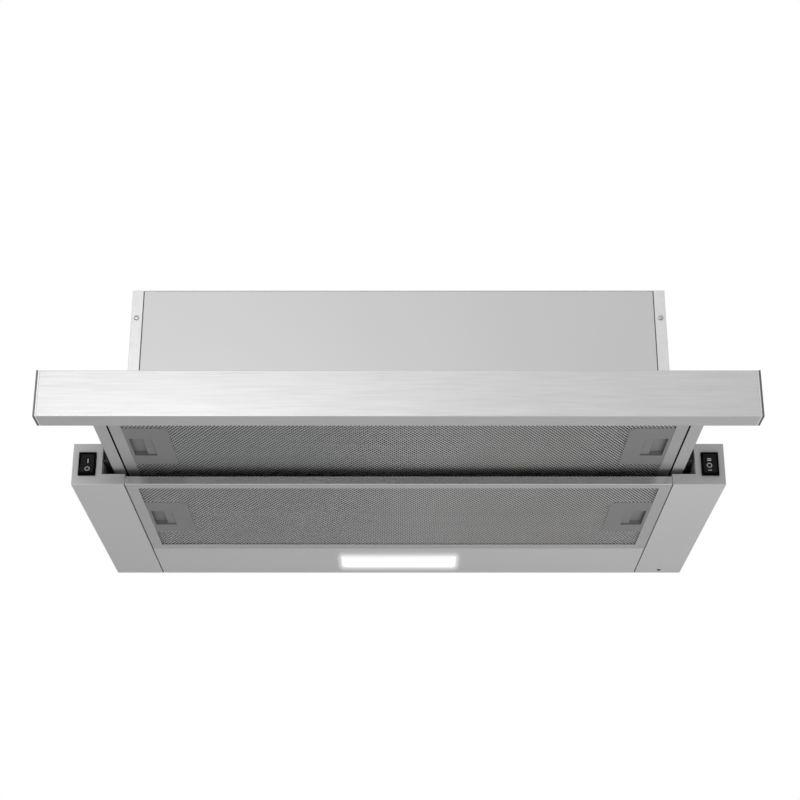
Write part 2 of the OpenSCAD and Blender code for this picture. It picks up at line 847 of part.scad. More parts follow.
// Outline of the scroll in the YZ plane, grown outwards, with its neck up to the lid
function scroll_outline(grow, top) = concat(
  [[fan_y + cut_r * cos(tongue_angle) - grow, top],
   [fan_y + cut_r * cos(tongue_angle) - grow, fan_z + cut_r * sin(tongue_angle)]],
  [for (a = [tongue_angle + spiral_step:spiral_step:spiral_end])
    [fan_y + (spiral_r(a) + grow) * cos(a), fan_z + (spiral_r(a) + grow) * sin(a)]],
  [[fan_y + end_r + grow, top]]);

// Extrudes a YZ outline along X, centred on x
module plate_x(x, thick) {
  translate([x, 0, 0]) rotate([90, 0, 90]) linear_extrude(height = thick) children();
}

// Wrap of the blower with the flanges of its neck under the lid
module blower_scroll() {
  neck_y = fan_y + cut_r * cos(tongue_angle);
  back_wall_y = fan_y + end_r + wrap_t;
  color(zinc) union() {
    plate_x(-blower_w / 2, blower_w) difference() {
      polygon(scroll_outline(wrap_t, lid_z));
      polygon(scroll_outline(0, casing_h));
    }
    block([-blower_w / 2, blower_w / 2], [neck_y - wrap_t - neck_flange, neck_y - wrap_t + over],
          [lid_z - wrap_t, lid_z]);
    block([-blower_w / 2, blower_w / 2], [back_wall_y - over, back_wall_y + neck_flange],
          [lid_z - wrap_t, lid_z]);
  }
}

// End plate of the blower with its inlet and rolled lip
module blower_end(side) {
  lip_x = blower_w / 2 - inlet_lip;
  face = blower_w / 2 + wrap_t;
  color(zinc) on_side(side) difference() {
    union() {
      plate_x(blower_w / 2, wrap_t) polygon(scroll_outline(wrap_t, lid_z));
      translate([0, fan_y, fan_z]) rod_x(inlet_r + wrap_t, lip_x, face);
    }
    translate([0, fan_y, fan_z]) rod_x(inlet_r, lip_x - over, face + over);
  }
}

// Grille over an inlet, whose hub carries the charcoal filter; the left one holds the motor
module inlet_guard(side) {
  face = blower_w / 2 + wrap_t;
  hub_end = face + guard_t + gap + charcoal_t + seam + lug_t;
  ring_mid = (guard_hub_r + inlet_r) / 2;
  color(plastic) on_side(side) translate([0, fan_y, fan_z]) union() {
    difference() {
      rod_x(inlet_r + guard_rim, face, face + guard_t);
      rod_x(inlet_r - guard_rib_w, face - over, face + guard_t + over);
    }
    difference() {
      rod_x(ring_mid + guard_rib_w / 2, face, face + guard_t);
      rod_x(ring_mid - guard_rib_w / 2, face - over, face + guard_t + over);
    }
    difference() {
      rod_x(guard_hub_r, face, hub_end);
      rod_x(guard_hub_r - guard_hub_wall, face + guard_t, hub_end + over);
    }
    for (i = [0:guard_ribs - 1]) rotate([i * 360 / guard_ribs, 0, 0])
      block([face, face + guard_t], [guard_hub_r - guard_hub_wall, inlet_r],
            [-guard_rib_w / 2, guard_rib_w / 2]);
    for (i = [0:2]) rotate([i * 120, 0, 0])
      block([hub_end - lug_t, hub_end], [guard_hub_r - guard_hub_wall / 2, guard_hub_r + lug_out],
            [-lug_w / 2, lug_w / 2]);
  }
}

// Motor: can, stator and the two bushes of its shaft
module motor() {
  can_r = motor_d / 2;
  out = -blower_w / 2 - wrap_t;
  core = [out + bush_l + 2 * motor_wall, out + motor_l - bush_l - 2 * motor_wall];
  color("darkgray") translate([0, fan_y, fan_z]) {
    difference() {
      rod_x(can_r, out, out + motor_l);
      rod_x(can_r - motor_wall, out + motor_wall, out + motor_l - motor_wall);
      rod_x(bush_r, out - over, out + motor_l + over);
    }
    difference() {
      rod_x(can_r - motor_wall, core[0], core[1]);
      rod_x(can_r - stator_t, out, out + motor_l);
    }
    for (start = [out, out + motor_l - bush_l]) difference() {
      rod_x(bush_r, start, start + bush_l);
      rod_x(shaft_r + shaft_fit, start - over, start + bush_l + over);
    }
  }
}

// Motor shaft with the rotor core on it
module motor_shaft() {
  out = -blower_w / 2 - wrap_t;
  color(steel) translate([0, fan_y, fan_z]) union() {
    rod_x(shaft_r, out, hub_l / 2);
    rod_x(motor_d / 2 - stator_t - rotor_gap, out + bush_l + 2 * motor_wall,
          out + motor_l - bush_l - 2 * motor_wall);
  }
}

// Double inlet impeller
module impeller() {
  r = impeller_d / 2;
  half = blower_w / 2 - impeller_side_gap;
  color("dimgray") translate([0, fan_y, fan_z]) difference() {
    union() {
      rod_x(r, -disc_t / 2, disc_t / 2);
      rod_x(hub_r, -hub_l / 2, hub_l / 2);
      for (end = [-half, half - ring_t]) difference() {
        rod_x(r, end, end + ring_t);
        rod_x(r - blade_depth, end - over, end + ring_t + over);
      }
      for (i = [0:blades - 1]) rotate([i * 360 / blades, 0, 0])
        translate([0, r - blade_depth / 2, 0]) rotate([blade_lean, 0, 0])
          block([-half, half], [-blade_depth / 2, blade_depth / 2 - blade_t],
                [-blade_t / 2, blade_t / 2]);
    }
    rod_x(shaft_r, -hub_l, hub_l);
  }
}

// Charcoal filter: case with a dished grille, and the granule bed inside it
module charcoal_filter(side) {
  r = charcoal_d / 2;
  inner = blower_w / 2 + wrap_t + guard_t + gap;
  outer = inner + charcoal_t;
  tube_r = charcoal_bore_r + lug_out;
  dish = outer - charcoal_dish - grille_ring_t;
  pitch = (r - tube_r) / grille_rings;
  rib_y = [tube_r + over, r - over];
  rib_z = [-grille_rib_w / 2, grille_rib_w / 2];
  color(plastic) on_side(side) translate([0, fan_y, fan_z]) {
    difference() {
      union() {
        rotate([0, 90, 0]) rotate_extrude() {
          translate([r - charcoal_wall, inner]) square([charcoal_wall, dish - inner]);
          translate([tube_r, inner]) square([charcoal_wall, outer - inner]);
          translate([charcoal_bore_r, outer - charcoal_rim_t]) square([lug_out + over, charcoal_rim_t]);
          for (i = [1:grille_rings - 1]) translate([tube_r + i * pitch, grille_x(i, outer)])
            square([grille_ring_w, grille_ring_t]);
          for (i = [1:2:grille_rings - 1]) translate([tube_r + i * pitch, inner])
            square([grille_ring_w, grille_ring_t]);
        }
        for (i = [0:grille_ribs - 1]) rotate([(i + 0.5) * 360 / grille_ribs, 0, 0]) {
          block([inner, inner + grille_ring_t], rib_y, rib_z);
          block([dish - grille_ring_t, dish], rib_y, rib_z);
        }
      }
      for (i = [0:2]) rotate([i * 120 + twist, 0, 0])
        block([outer - charcoal_rim_t - over, outer + over], [0, charcoal_bore_r + lug_out],
              [-lug_w / 2 - gap, lug_w / 2 + gap]);
    }
    difference() {
      rod_x(r - charcoal_wall - gap, inner + grille_ring_t + gap, dish - grille_ring_t - gap);
      rod_x(tube_r + charcoal_wall + gap, inner, outer);
    }
  }
}

// Underside of grille ring i: the rings stand on the ribs and rise towards the hub in two steps
function grille_x(i, outer) =
  outer - charcoal_dish - grille_ring_t * (i < grille_rings / 2 ? 1 : 1.5);

// Collar with its flange and the stop ring under the flaps
module outlet_collar() {
  r = duct_d / 2;
  bore_r = r - collar_wall;
  stop_top = flap_rise - flap_t / 2 - gap;
  knuckle_room = knuckle_r + gap;
  color(steel) translate([0, duct_y, casing_h]) difference() {
    union() {
      cylinder(r = r, h = collar_h);
      cylinder(r = r + collar_flange_w, h = collar_flange_t);
    }
    translate([0, 0, -over]) cylinder(r = bore_r - flap_stop_w, h = collar_h + 2 * over);
    translate([0, 0, -over]) cylinder(r = bore_r, h = over + stop_top - flap_stop_t);
    translate([0, 0, stop_top]) cylinder(r = bore_r, h = collar_h);
    translate([0, -duct_y, -casing_h]) collar_screw_places() screw_hole();
    translate([0, 0, flap_rise]) rod_x(pin_r, -duct_d, duct_d);
    block([-bore_r, bore_r], [-knuckle_room, knuckle_room],
          [flap_rise - knuckle_room - flap_stop_t, flap_rise]);
  }
}

// Pin of the flaps across the collar
module flap_pin() {
  color("gray") translate([0, duct_y, flap_z]) rod_x(pin_r, -duct_d / 2, duct_d / 2);
}

// One flap: a half disc and its knuckles on the pin; facing -1 is the front one
module flap(facing) {
  r = duct_d / 2 - collar_wall - flap_gap;
  span = r - 2 * knuckle_r;
  step = 2 * span / (2 * knuckles);
  color(zinc) translate([0, duct_y, flap_z]) mirror([0, facing < 0 ? 1 : 0, 0]) difference() {
    union() {
      intersection() {
        translate([0, 0, -flap_t / 2]) cylinder(r = r, h = flap_t);
        block([-r, r], [knuckle_r + gap, r], [-flap_t, flap_t]);
      }
      for (i = [0:knuckles - 1]) {
        start = -span + (2 * i + (facing < 0 ? 0 : 1)) * step + gap;
        rod_x(knuckle_r, start, start + step - 2 * gap);
        block([start, start + step - 2 * gap], [0, knuckle_r + 2 * gap], [-flap_t / 2, flap_t / 2]);
      }
    }
    rod_x(pin_r + pin_fit, -r, r);
  }
}

// Terminal box on the back panel
module terminal_box() {
  color("white") translate([terminal_box_x, back_y, terminal_box_z]) difference() {
    block([-terminal_box_w / 2, terminal_box_w / 2], [-terminal_box_d, 0],
          [-terminal_box_h / 2, terminal_box_h / 2]);
    block([box_wall - terminal_box_w / 2, terminal_box_w / 2 - box_wall],
          [box_wall - terminal_box_d, -box_wall],
          [box_wall - terminal_box_h / 2, terminal_box_h / 2 - box_wall]);
  }
}

// Gland for the mains lead through the lid
module cable_gland() {
  color(plastic) translate([gland_x, gland_y, 0]) difference() {
    union() {
      translate([0, 0, lid_z - gland_down])
        cylinder(r = gland_r, h = gland_down + sheet + gland_up);
      translate([0, 0, casing_h]) cylinder(r = gland_nut_r, h = gland_nut_t, $fn = 6);
      translate([0, 0, lid_z - gland_nut_t]) cylinder(r = gland_nut_r, h = gland_nut_t, $fn = 6);
      translate([0, 0, casing_h + gland_up - gland_nut_t - sheet])
        cylinder(r = gland_nut_r - box_wall, h = gland_nut_t);
    }
    translate([0, 0, lid_z - gland_down - over])
      cylinder(r = gland_bore_r, h = 2 * (gland_down + gland_up));
  }
}

// Run capacitor clipped to the back panel
module run_capacitor() {
  color("gainsboro") translate([cap_x, back_y - cap_r - sheet, cap_z]) union() {
    rod_x(cap_r, -cap_l / 2, cap_l / 2);
    block([-cap_clip_w / 2, cap_clip_w / 2], [0, cap_r + sheet], [-cap_r, cap_r]);
  }
}

casing_front_panel();
casing_side(-1);  // casing_left_side
casing_side(1);  // casing_right_side
casing_top_panel();
casing_back_panel();
casing_screws();
side_channel(-1);  // left_side_channel
side_channel(1);  // right_side_channel
light_panel();
light_diffuser();
lamp_board();
lamp_driver();
switch_body(-1, 2);  // light_switch_body
rocker(-1, -rocker_tilt);  // light_rocker
switch_body(1, 3);  // fan_switch_body
rocker(1, 0);  // fan_rocker
outer_slide(-1);  // outer_slide_left
outer_slide(1);  // outer_slide_right
inner_slide(-1);  // inner_slide_left
inner_slide(1);  // inner_slide_right
ball_retainer(-1);  // ball_retainer_left
ball_retainer(1);  // ball_retainer_right
fascia_panel();
fascia_cap(-1);  // fascia_cap_left
fascia_cap(1);  // fascia_cap_right
drawer_screws();
drawer_rail(-1);  // drawer_rail_left
drawer_rail(1);  // drawer_rail_right
drawer_top_cover();
drawer_rear_bar();
cassette_frame(drawer_cassette_y, drawer_z);  // drawer_filter_frame
cassette_mesh(drawer_cassette_y, drawer_z);  // drawer_filter_mesh
latch_plates(drawer_cassette_y, drawer_z);  // drawer_latch_plates
latch_slider(-1, drawer_cassette_y, drawer_z);  // drawer_latch_left
latch_slider(1, drawer_cassette_y, drawer_z);  // drawer_latch_right
latch_springs(drawer_cassette_y, drawer_z);  // drawer_latch_springs
cassette_frame(base_cassette_y, under_z);  // base_filter_frame
cassette_mesh(base_cassette_y, under_z);  // base_filter_mesh
latch_plates(base_cassette_y, under_z);  // base_latch_plates
latch_slider(-1, base_cassette_y, under_z);  // base_latch_left
latch_slider(1, base_cassette_y, under_z);  // base_latch_right
latch_springs(base_cassette_y, under_z);  // base_latch_springs
blower_scroll();
blower_end(-1);  // blower_end_left
blower_end(1);  // blower_end_right
inlet_guard(-1);  // inlet_guard_left
inlet_guard(1);  // inlet_guard_right
motor();
motor_shaft();
impeller();
run_capacitor();
terminal_box();
cable_gland();
outlet_collar();
flap_pin();
flap(-1);  // flap_front
flap(1);  // flap_rear
charcoal_filter(-1);  // charcoal_filter_left
charcoal_filter(1);  // charcoal_filter_right
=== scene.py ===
# %% [markdown]
# # A pull out range hood
# This notebook dresses a slim range hood that hides in a kitchen wall cabinet. Its construction
# comes from the frame: every sheet, slide and screw is already there at its real size, in metres,
# with its own body to move with. Here those pieces get the edges, meshes and finishes that the eye
# expects from pressed steel, aluminium grease filters and moulded plastic.

# %% Load the frame
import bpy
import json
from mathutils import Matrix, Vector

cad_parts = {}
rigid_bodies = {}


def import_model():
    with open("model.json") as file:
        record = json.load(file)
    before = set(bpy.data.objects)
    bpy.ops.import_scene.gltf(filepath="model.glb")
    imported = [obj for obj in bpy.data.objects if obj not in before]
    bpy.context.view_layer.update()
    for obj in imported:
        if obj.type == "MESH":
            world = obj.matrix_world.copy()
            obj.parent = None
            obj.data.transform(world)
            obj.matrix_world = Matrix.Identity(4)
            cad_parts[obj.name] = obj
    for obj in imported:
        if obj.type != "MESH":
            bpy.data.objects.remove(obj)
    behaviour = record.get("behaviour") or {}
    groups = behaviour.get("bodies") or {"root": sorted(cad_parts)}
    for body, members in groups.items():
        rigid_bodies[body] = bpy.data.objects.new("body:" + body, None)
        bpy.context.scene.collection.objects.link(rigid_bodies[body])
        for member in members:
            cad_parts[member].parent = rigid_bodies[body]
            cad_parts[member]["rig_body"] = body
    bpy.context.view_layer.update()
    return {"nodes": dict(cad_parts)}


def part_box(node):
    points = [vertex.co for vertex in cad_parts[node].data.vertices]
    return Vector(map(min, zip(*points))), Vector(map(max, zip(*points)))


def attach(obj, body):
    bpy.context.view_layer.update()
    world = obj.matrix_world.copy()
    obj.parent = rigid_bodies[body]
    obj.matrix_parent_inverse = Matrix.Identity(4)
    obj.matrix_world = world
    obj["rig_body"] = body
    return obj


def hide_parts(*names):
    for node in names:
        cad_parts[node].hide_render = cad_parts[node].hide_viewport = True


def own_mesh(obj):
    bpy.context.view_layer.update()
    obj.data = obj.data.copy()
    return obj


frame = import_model()

import json
import math
import bmesh
import bpy
import numpy as np
from mathutils import Matrix, Vector

MM = 0.001
nodes = frame["nodes"]

# %% [markdown]
# ## Camera
# The photograph was taken from below and in front, with a fairly long lens, so that upright edges
# lean only a little. A pinhole camera was fitted to the straight edges of the hood, and its place,
# tilt and focal length are written down here. Depth of field stays off.

# %% Camera at the photograph's view
LENS = 76.19
CAMERA_PLACE = Vector((1.3, -1597.3, -557.4)) * MM
CAMERA_PITCH = 22.41

camera_data = bpy.data.cameras.new("photo_camera")
camera_data.lens = LENS
camera_data.sensor_width = 36
camera = bpy.data.objects.new("photo_camera", camera_data)
camera.location = CAMERA_PLACE
camera.rotation_euler = (math.radians(90 + CAMERA_PITCH), 0, 0)
bpy.context.scene.collection.objects.link(camera)
bpy.context.scene.camera = camera
bpy.context.scene.view_settings.view_transform = "Standard"
print("camera looks up by", CAMERA_PITCH, "degrees")

# %% [markdown]
# ## Node trees
# Light, finishes and repeated shapes are all trees of nodes, and a tree that is written node by
# node grows long. So one helper adds a node and fills its inputs: a setting names an input, or
# numbers it after an underscore, and gives it a value or a link. Any other setting is one of the
# node's own properties. A second helper adds a calculation and hands back its result.


# %% Helpers for node trees
def add(tree, kind, **settings):
    """A new node with its inputs set or linked and its properties set."""
    node = tree.nodes.new(kind)
    for key, value in settings.items():
        label = int(key[1:]) if key[0] == "_" else key.replace("_", " ")
        if key[0] != "_" and label not in node.inputs:
            setattr(node, key, value)
        elif isinstance(value, bpy.types.NodeSocket):
            tree.links.new(value, node.inputs[label])
        else:
            node.inputs[label].default_value = value
    return node


def calc(tree, operation, *values, kind="ShaderNodeMath"):
    """The result of a calculation with values or links."""
    inputs = {f"_{index}": value for index, value in enumerate(values)}
    return add(tree, kind, operation=operation, **inputs).outputs[0]


# %% [markdown]
# ## Light
# A studio shot of sheet steel is mostly a picture of its surroundings. The world is white where the
# camera or a reflection looks at it, and a dimmer grey where it only gives light. One large soft
# lamp stands to the left and in front, which makes the faces fade from left to right. A pale floor
# far below sends light back up, and that is what the undersides show.

# %% World that is white to look at and grey as a light
WORLD_LIGHT = 0.37

world = bpy.data.worlds.new("studio")
bpy.context.scene.world = world
world.use_nodes = True
tree = world.node_tree
tree.nodes.clear()
rays = add(tree, "ShaderNodeLightPath").outputs
seen = calc(tree, "MAXIMUM", rays["Is Camera Ray"], rays["Is Glossy Ray"])
seen = calc(tree, "MAXIMUM", seen, rays["Is Transmission Ray"])
grey = add(tree, "ShaderNodeBackground", Color=(WORLD_LIGHT, WORLD_LIGHT, WORLD_LIGHT, 1))
white = add(tree, "ShaderNodeBackground", Color=(1, 1, 1, 1))
either = add(tree, "ShaderNodeMixShader", _0=seen, _1=grey.outputs[0], _2=white.outputs[0])
add(tree, "ShaderNodeOutputWorld", Surface=either.outputs[0])
print("world light", WORLD_LIGHT)


# %% Lamps
def area_lamp(name, place, target, size, power):
    """A soft lamp of a width and height that faces a point."""
    data = bpy.data.lights.new(name, "AREA")
    data.shape = "RECTANGLE"
    data.size, data.size_y = size
    data.energy = power
    lamp = bpy.data.objects.new(name, data)
    lamp.location = place
    lamp.rotation_euler = (Vector(target) - Vector(place)).to_track_quat("-Z", "Y").to_euler()
    lamp.visible_camera = False
    bpy.context.scene.collection.objects.link(lamp)
    return lamp


key = area_lamp("key_lamp", (-0.3, -0.985, -0.04), (-0.3, -0.3, -0.04), (0.4, 0.06), 3.1)
fill = area_lamp("fill_lamp", (0.15, -0.3, -0.85), (0, -0.1, 0), (1.6, 1.6), 6)
print("key lamp", key.data.energy, "W, fill lamp", fill.data.energy, "W")

# %% Floor
FLOOR_Z, FLOOR_HALF, FLOOR_GREY, FLOOR_ROUGHNESS = -0.9, 4.5, 0.8, 0.8

corners = ((-1, -1), (1, -1), (1, 1), (-1, 1))
floor_mesh = bpy.data.meshes.new("floor")
floor_mesh.from_pydata([(x * FLOOR_HALF, y * FLOOR_HALF, FLOOR_Z) for x, y in corners], [], [(0, 1, 2, 3)])
floor = bpy.data.objects.new("floor", floor_mesh)
bpy.context.scene.collection.objects.link(floor)
floor_paint = bpy.data.materials.new("floor_paint")
floor_paint.use_nodes = True
shader = floor_paint.node_tree.nodes["Principled BSDF"]
shader.inputs["Base Color"].default_value = (FLOOR_GREY, FLOOR_GREY, FLOOR_GREY, 1)
shader.inputs["Roughness"].default_value = FLOOR_ROUGHNESS
floor_mesh.materials.append(floor_paint)
print("floor at", FLOOR_Z, "m")

# %% [markdown]
# ## Materials
# Each finish is made of noise in Object coordinates, so that it stays on the piece and also works
# on the exported mesh. Most finishes are two noises, mixed: together they drive colour and
# roughness, and the first one is also a slight relief. Stretching a noise along an axis is what
# brushing and rolling do to metal.


# %% Helpers for materials
def grey_of(value, warm=0.0):
    """A grey, a little warm or cool."""
    return (value + warm, value, value - warm)


def start_material(name, colour, metallic, roughness):
    """A material with its plain values on the shader's own sockets."""
    material = bpy.data.materials.new(name)
    material.use_nodes = True
    shader = material.node_tree.nodes["Principled BSDF"]
    shader.inputs["Base Color"].default_value = (*colour, 1)
    shader.inputs["Metallic"].default_value = metallic
    shader.inputs["Roughness"].default_value = roughness
    return material, material.node_tree, shader


def on_object(tree, scale):
    """Object coordinates, scaled along each axis; a scale of 1000 gives features of about 1 mm."""
    place = add(tree, "ShaderNodeTexCoord").outputs["Object"]
    return add(tree, "ShaderNodeMapping", Vector=place, Scale=scale).outputs["Vector"]


def noise(tree, scale, detail):
    """Noise in object coordinates; a single scale goes for the three axes."""
    scales = scale if isinstance(scale, tuple) else (scale, scale, scale)
    node = add(tree, "ShaderNodeTexNoise", Vector=on_object(tree, scales), Scale=1.0, Detail=detail,
               Roughness=0.55)
    return node.outputs["Fac"]


def between(tree, value, low, high, from_low=0.3, from_high=0.7):
    """Maps a value to a range of numbers."""
    return add(tree, "ShaderNodeMapRange", Value=value, From_Min=from_low, From_Max=from_high,
               To_Min=low, To_Max=high).outputs["Result"]


def total(tree, first, second, share):
    """Two values mixed by a share."""
    return add(tree, "ShaderNodeMix", data_type="FLOAT", _0=share, _2=first, _3=second).outputs[0]


def finish(tree, shader, value, dark, light, rough=None):
    """Lets a value between 0 and 1 drive colour and roughness."""
    tint = add(tree, "ShaderNodeMix", data_type="RGBA", _0=value, _6=(*dark, 1), _7=(*light, 1))
    tree.links.new(tint.outputs[2], shader.inputs["Base Color"])
    if rough:
        tree.links.new(between(tree, value, *rough, 0.0, 1.0), shader.inputs["Roughness"])


def relief(tree, shader, height, strength, distance=0.00004):
    """Bump from a height."""
    bump = add(tree, "ShaderNodeBump", Strength=strength, Distance=distance, Height=height)
    tree.links.new(bump.outputs["Normal"], shader.inputs["Normal"])


def coat(name, greys, metallic, rough, first, second, share, bump, warm=0.0):
    """A finish of two noises, each given as scale and detail; the greys are dark, plain and light."""
    dark, plain, light = (grey_of(value, warm) for value in greys)
    material, tree, shader = start_material(name, plain, metallic, sum(rough) / 2)
    fine = noise(tree, *first)
    mixed = total(tree, fine, noise(tree, *second), share)
    finish(tree, shader, between(tree, mixed, 0.0, 1.0), dark, light, rough)
    relief(tree, shader, fine, bump)
    return material


# %% [markdown]
# ### Brushed and coated steel
# The fascia is stainless steel, brushed along its length: long thin scratches over broader, fainter
# streaks. The drawer, base and casing are coated or galvanised sheet. Coated sheet has an even,
# very fine grain. Galvanised sheet shows spangle: flat crystals a few millimetres wide, which a
# Voronoi texture gives, each reflecting a little differently.

# %% Brushed steel
def brushed_steel(name, value, metallic, rough, contrast):
    """Long scratches and streaks along X."""
    return coat(name, (value - contrast, value, value + contrast), metallic, rough,
                first=((26, 1000, 1000), 4), second=((30, 420, 420), 3), share=0.4, bump=0.12)


brushed_fascia = brushed_steel("brushed_fascia", 0.64, 0.3, (0.36, 0.48), 0.05)
# The slide steel below is made very dark, as painted shade inside the base where the slides run; the motor
# shaft and the screws that face down use it too.
slide_steel = brushed_steel("slide_steel", 0.06, 0.3, (0.4, 0.55), 0.015)
bright_aluminium = brushed_steel("bright_aluminium", 0.66, 0.85, (0.2, 0.28), 0.02)
print("brushed finishes made")


# %% Coated and galvanised sheet
def coated_sheet(name, value, metallic=0.1, grain=0.012):
    """Paint or coating with a very fine grain."""
    return coat(name, (value - grain, value, value + grain), metallic, (0.42, 0.52),
                first=(1500, 2), second=(9, 2), share=0.4, bump=0.08)


def galvanised_sheet(name, value, metallic):
    """Flat zinc crystals with fine specks."""
    material, tree, shader = start_material(name, grey_of(value), metallic, 0.45)
    spangle = add(tree, "ShaderNodeTexVoronoi", Vector=on_object(tree, (170, 170, 170)), Scale=1.0)
    crystal = add(tree, "ShaderNodeSeparateColor", _0=spangle.outputs["Color"]).outputs[0]
    speck = noise(tree, 1100, 3)
    mixed = total(tree, crystal, between(tree, speck, 0.0, 1.0), 0.6)
    finish(tree, shader, mixed, grey_of(value - 0.05), grey_of(value + 0.04), (0.38, 0.56))
    relief(tree, shader, speck, 0.1, 0.00005)
    return material


casing_steel = coated_sheet("casing_steel", 0.8)
base_steel = coated_sheet("base_steel", 0.76)
# The next finish is the base coating made darker: painted shade for the front faces of the side channels.
front_shade_steel = coated_sheet("front_shade_steel", 0.58)
drawer_steel = coated_sheet("drawer_steel", 0.6, 0.2)
galvanised = galvanised_sheet("galvanised", 0.85, 0.4)
print("sheet finishes made")

# %% [markdown]
# ### Filters, plastics and small metal parts
# Grease filter frames are folded from mill finished aluminium, whose rolling lines run along the
# strip. The mesh itself is expanded foil: the strands are bright, and the layers behind them lie
# in shade, which is painted into their finish. Plastics get the faint orange peel of a moulding and
# a slight change of gloss.

# %% Aluminium
def aluminium(name, value, rough, lines, contrast=0.03):
    """Specks and rolling lines."""
    return coat(name, (value - contrast, value, value + contrast), 0.6, rough,
                first=(700, 2), second=(lines, 3), share=0.5, bump=0.08)


def mesh_depth(name):
    """The deeper foil layers seen through the outer one, painted in shade: crossed dark and dim strands.
    """
    material, tree, shader = start_material(name, grey_of(0.1), 0.3, 0.6)
    cells = add(tree, "ShaderNodeTexVoronoi", feature="DISTANCE_TO_EDGE", Scale=1.0,
                Vector=on_object(tree, (330, 240, 300)))
    mixed = between(tree, cells.outputs["Distance"], 1.0, 0.0, 0.02, 0.28)
    finish(tree, shader, mixed, grey_of(0.002), grey_of(0.02))
    return material


filter_aluminium = aluminium("filter_aluminium", 0.66, (0.4, 0.52), (30, 30, 900))
mesh_aluminium = aluminium("mesh_aluminium", 0.92, (0.35, 0.5), 400)
mesh_shade = mesh_depth("mesh_shade")
print("filter finishes made")


# %% Plastics
def plastic(name, value, rough=(0.35, 0.5), warm=0.0, shine=0.5):
    """Moulded plastic with a slight orange peel."""
    material = coat(name, (value * 0.93, value, value * 1.05), 0.0, rough,
                    first=(900, 2), second=(60, 2), share=0.5, bump=0.15, warm=warm)
    material.node_tree.nodes["Principled BSDF"].inputs["Specular IOR Level"].default_value = shine
    return material


cap_grey = plastic("cap_grey", 0.13)
cap_light = plastic("cap_light", 0.85, (0.3, 0.4))
latch_grey = plastic("latch_grey", 0.29, (0.45, 0.6))
# The black plastic below also serves as painted shade in the gaps beside the filter frames.
black_plastic = plastic("black_plastic", 0.003, (0.45, 0.55), shine=0.02)
rocker_black = plastic("rocker_black", 0.009, (0.3, 0.4), shine=0.1)
white_plastic = plastic("white_plastic", 0.8, warm=0.01)
fan_plastic = plastic("fan_plastic", 0.07)
capacitor_shell = plastic("capacitor_shell", 0.72)
board_white = plastic("board_white", 0.82, (0.3, 0.4))
mark_white = plastic("mark_white", 0.62, (0.4, 0.5))
# The seam shade below is painted shade, laid on narrow strips of steel beside the casing's flanges.
seam_shade = plastic("seam_shade", 0.12, (0.5, 0.6), shine=0.1)
charcoal_black = plastic("charcoal_black", 0.018, (0.28, 0.42))
print("plastics made")


# %% Small metal parts, painted motor and charcoal
def cast_metal(name, colour, metallic, rough, scale=900):
    """One noise that darkens, roughens and dents alike."""
    material, tree, shader = start_material(name, colour, metallic, sum(rough) / 2)
    wear = between(tree, noise(tree, scale, 4), 0.0, 1.0)
    dark, light = (tuple(c * share for c in colour) for share in (0.86, 1.1))
    finish(tree, shader, wear, dark, light, rough)
    relief(tree, shader, wear, 0.1, 0.00003)
    return material


screw_steel = cast_metal("screw_steel", grey_of(0.5), 0.9, (0.25, 0.45))
# The brass of the ball retainers is made very dark, as painted shade inside the base.
retainer_brass = cast_metal("retainer_brass", (0.05, 0.042, 0.03), 0.4, (0.4, 0.55))
motor_grey = cast_metal("motor_grey", grey_of(0.28), 0.2, (0.35, 0.5), 500)
charcoal_grains = cast_metal("charcoal_grains", grey_of(0.06), 0.2, (0.22, 0.5), 700)
print("small finishes made")

# %% [markdown]
# ### Lamp light
# The diffuser is opal plastic, lit from behind. It shines most in its middle and less at its rim.
# The coating of the panel round it gets painted light: a soft glow that stands for the lamp's light
# on it. Both follow the distance from the inner part of the window, which falls off faster along
# the hood than towards its front.

# %% Lamp light
WINDOW_MARGIN = Vector((2.4, 7.6, 0)) * MM


def from_window(tree):
    """How far a point lies from the inner part of the lamp window, in millimetres across it."""
    lo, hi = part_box("light_diffuser")
    narrow = (1000, 1000 * WINDOW_MARGIN.x / WINDOW_MARGIN.y, 0)
    value = on_object(tree, (1, 1, 1))
    for operation, vector in (("SUBTRACT", (lo + hi) / 2), ("ABSOLUTE", (0, 0, 0)),
                              ("SUBTRACT", (hi - lo) / 2 - WINDOW_MARGIN), ("MAXIMUM", (0, 0, 0)),
                              ("MULTIPLY", narrow), ("LENGTH", (0, 0, 0))):
        node = add(tree, "ShaderNodeVectorMath", operation=operation, _0=value, _1=vector)
        value = node.outputs[0]
    return node.outputs["Value"]


def lamp_light(material, near, far, bright, dim):
    """Lets a material shine less and less from one distance to another."""
    tree = material.node_tree
    shader = tree.nodes["Principled BSDF"]
    shader.inputs["Emission Color"].default_value = (1, 1, 1, 1)
    fall = between(tree, from_window(tree), bright, dim, near, far)
    tree.links.new(calc(tree, "POWER", fall, 2), shader.inputs["Emission Strength"])


diffuser_glow = plastic("diffuser", 0.85)
lamp_light(diffuser_glow, near=0.0, far=2.4, bright=0.9, dim=0.5)
# The light panel's coating gets painted light: a glow that fades out round the lamp window.
painted_glow_steel = coated_sheet("painted_glow_steel", 0.76)
lamp_light(painted_glow_steel, near=1.7, far=9.0, bright=0.68, dim=0.0)
print("lamp light made")

# %% [markdown]
# ## CAD meshes
# Each CAD mesh comes as loose triangles, so a copy is merged and each of its flat areas made one
# face. Faces in one plane, edges that run on into each other and points that hang together are all
# found in one way: start at one of them and follow its neighbours until no new one turns up.

# %% Helpers that read CAD meshes
MERGE = 1e-6
FLAT = math.radians(0.6)


def joined_copy(node):
    """The node's mesh with its doubles merged."""
    copy = bmesh.new()
    copy.from_mesh(nodes[node].data)
    bmesh.ops.remove_doubles(copy, verts=copy.verts, dist=MERGE)
    return copy


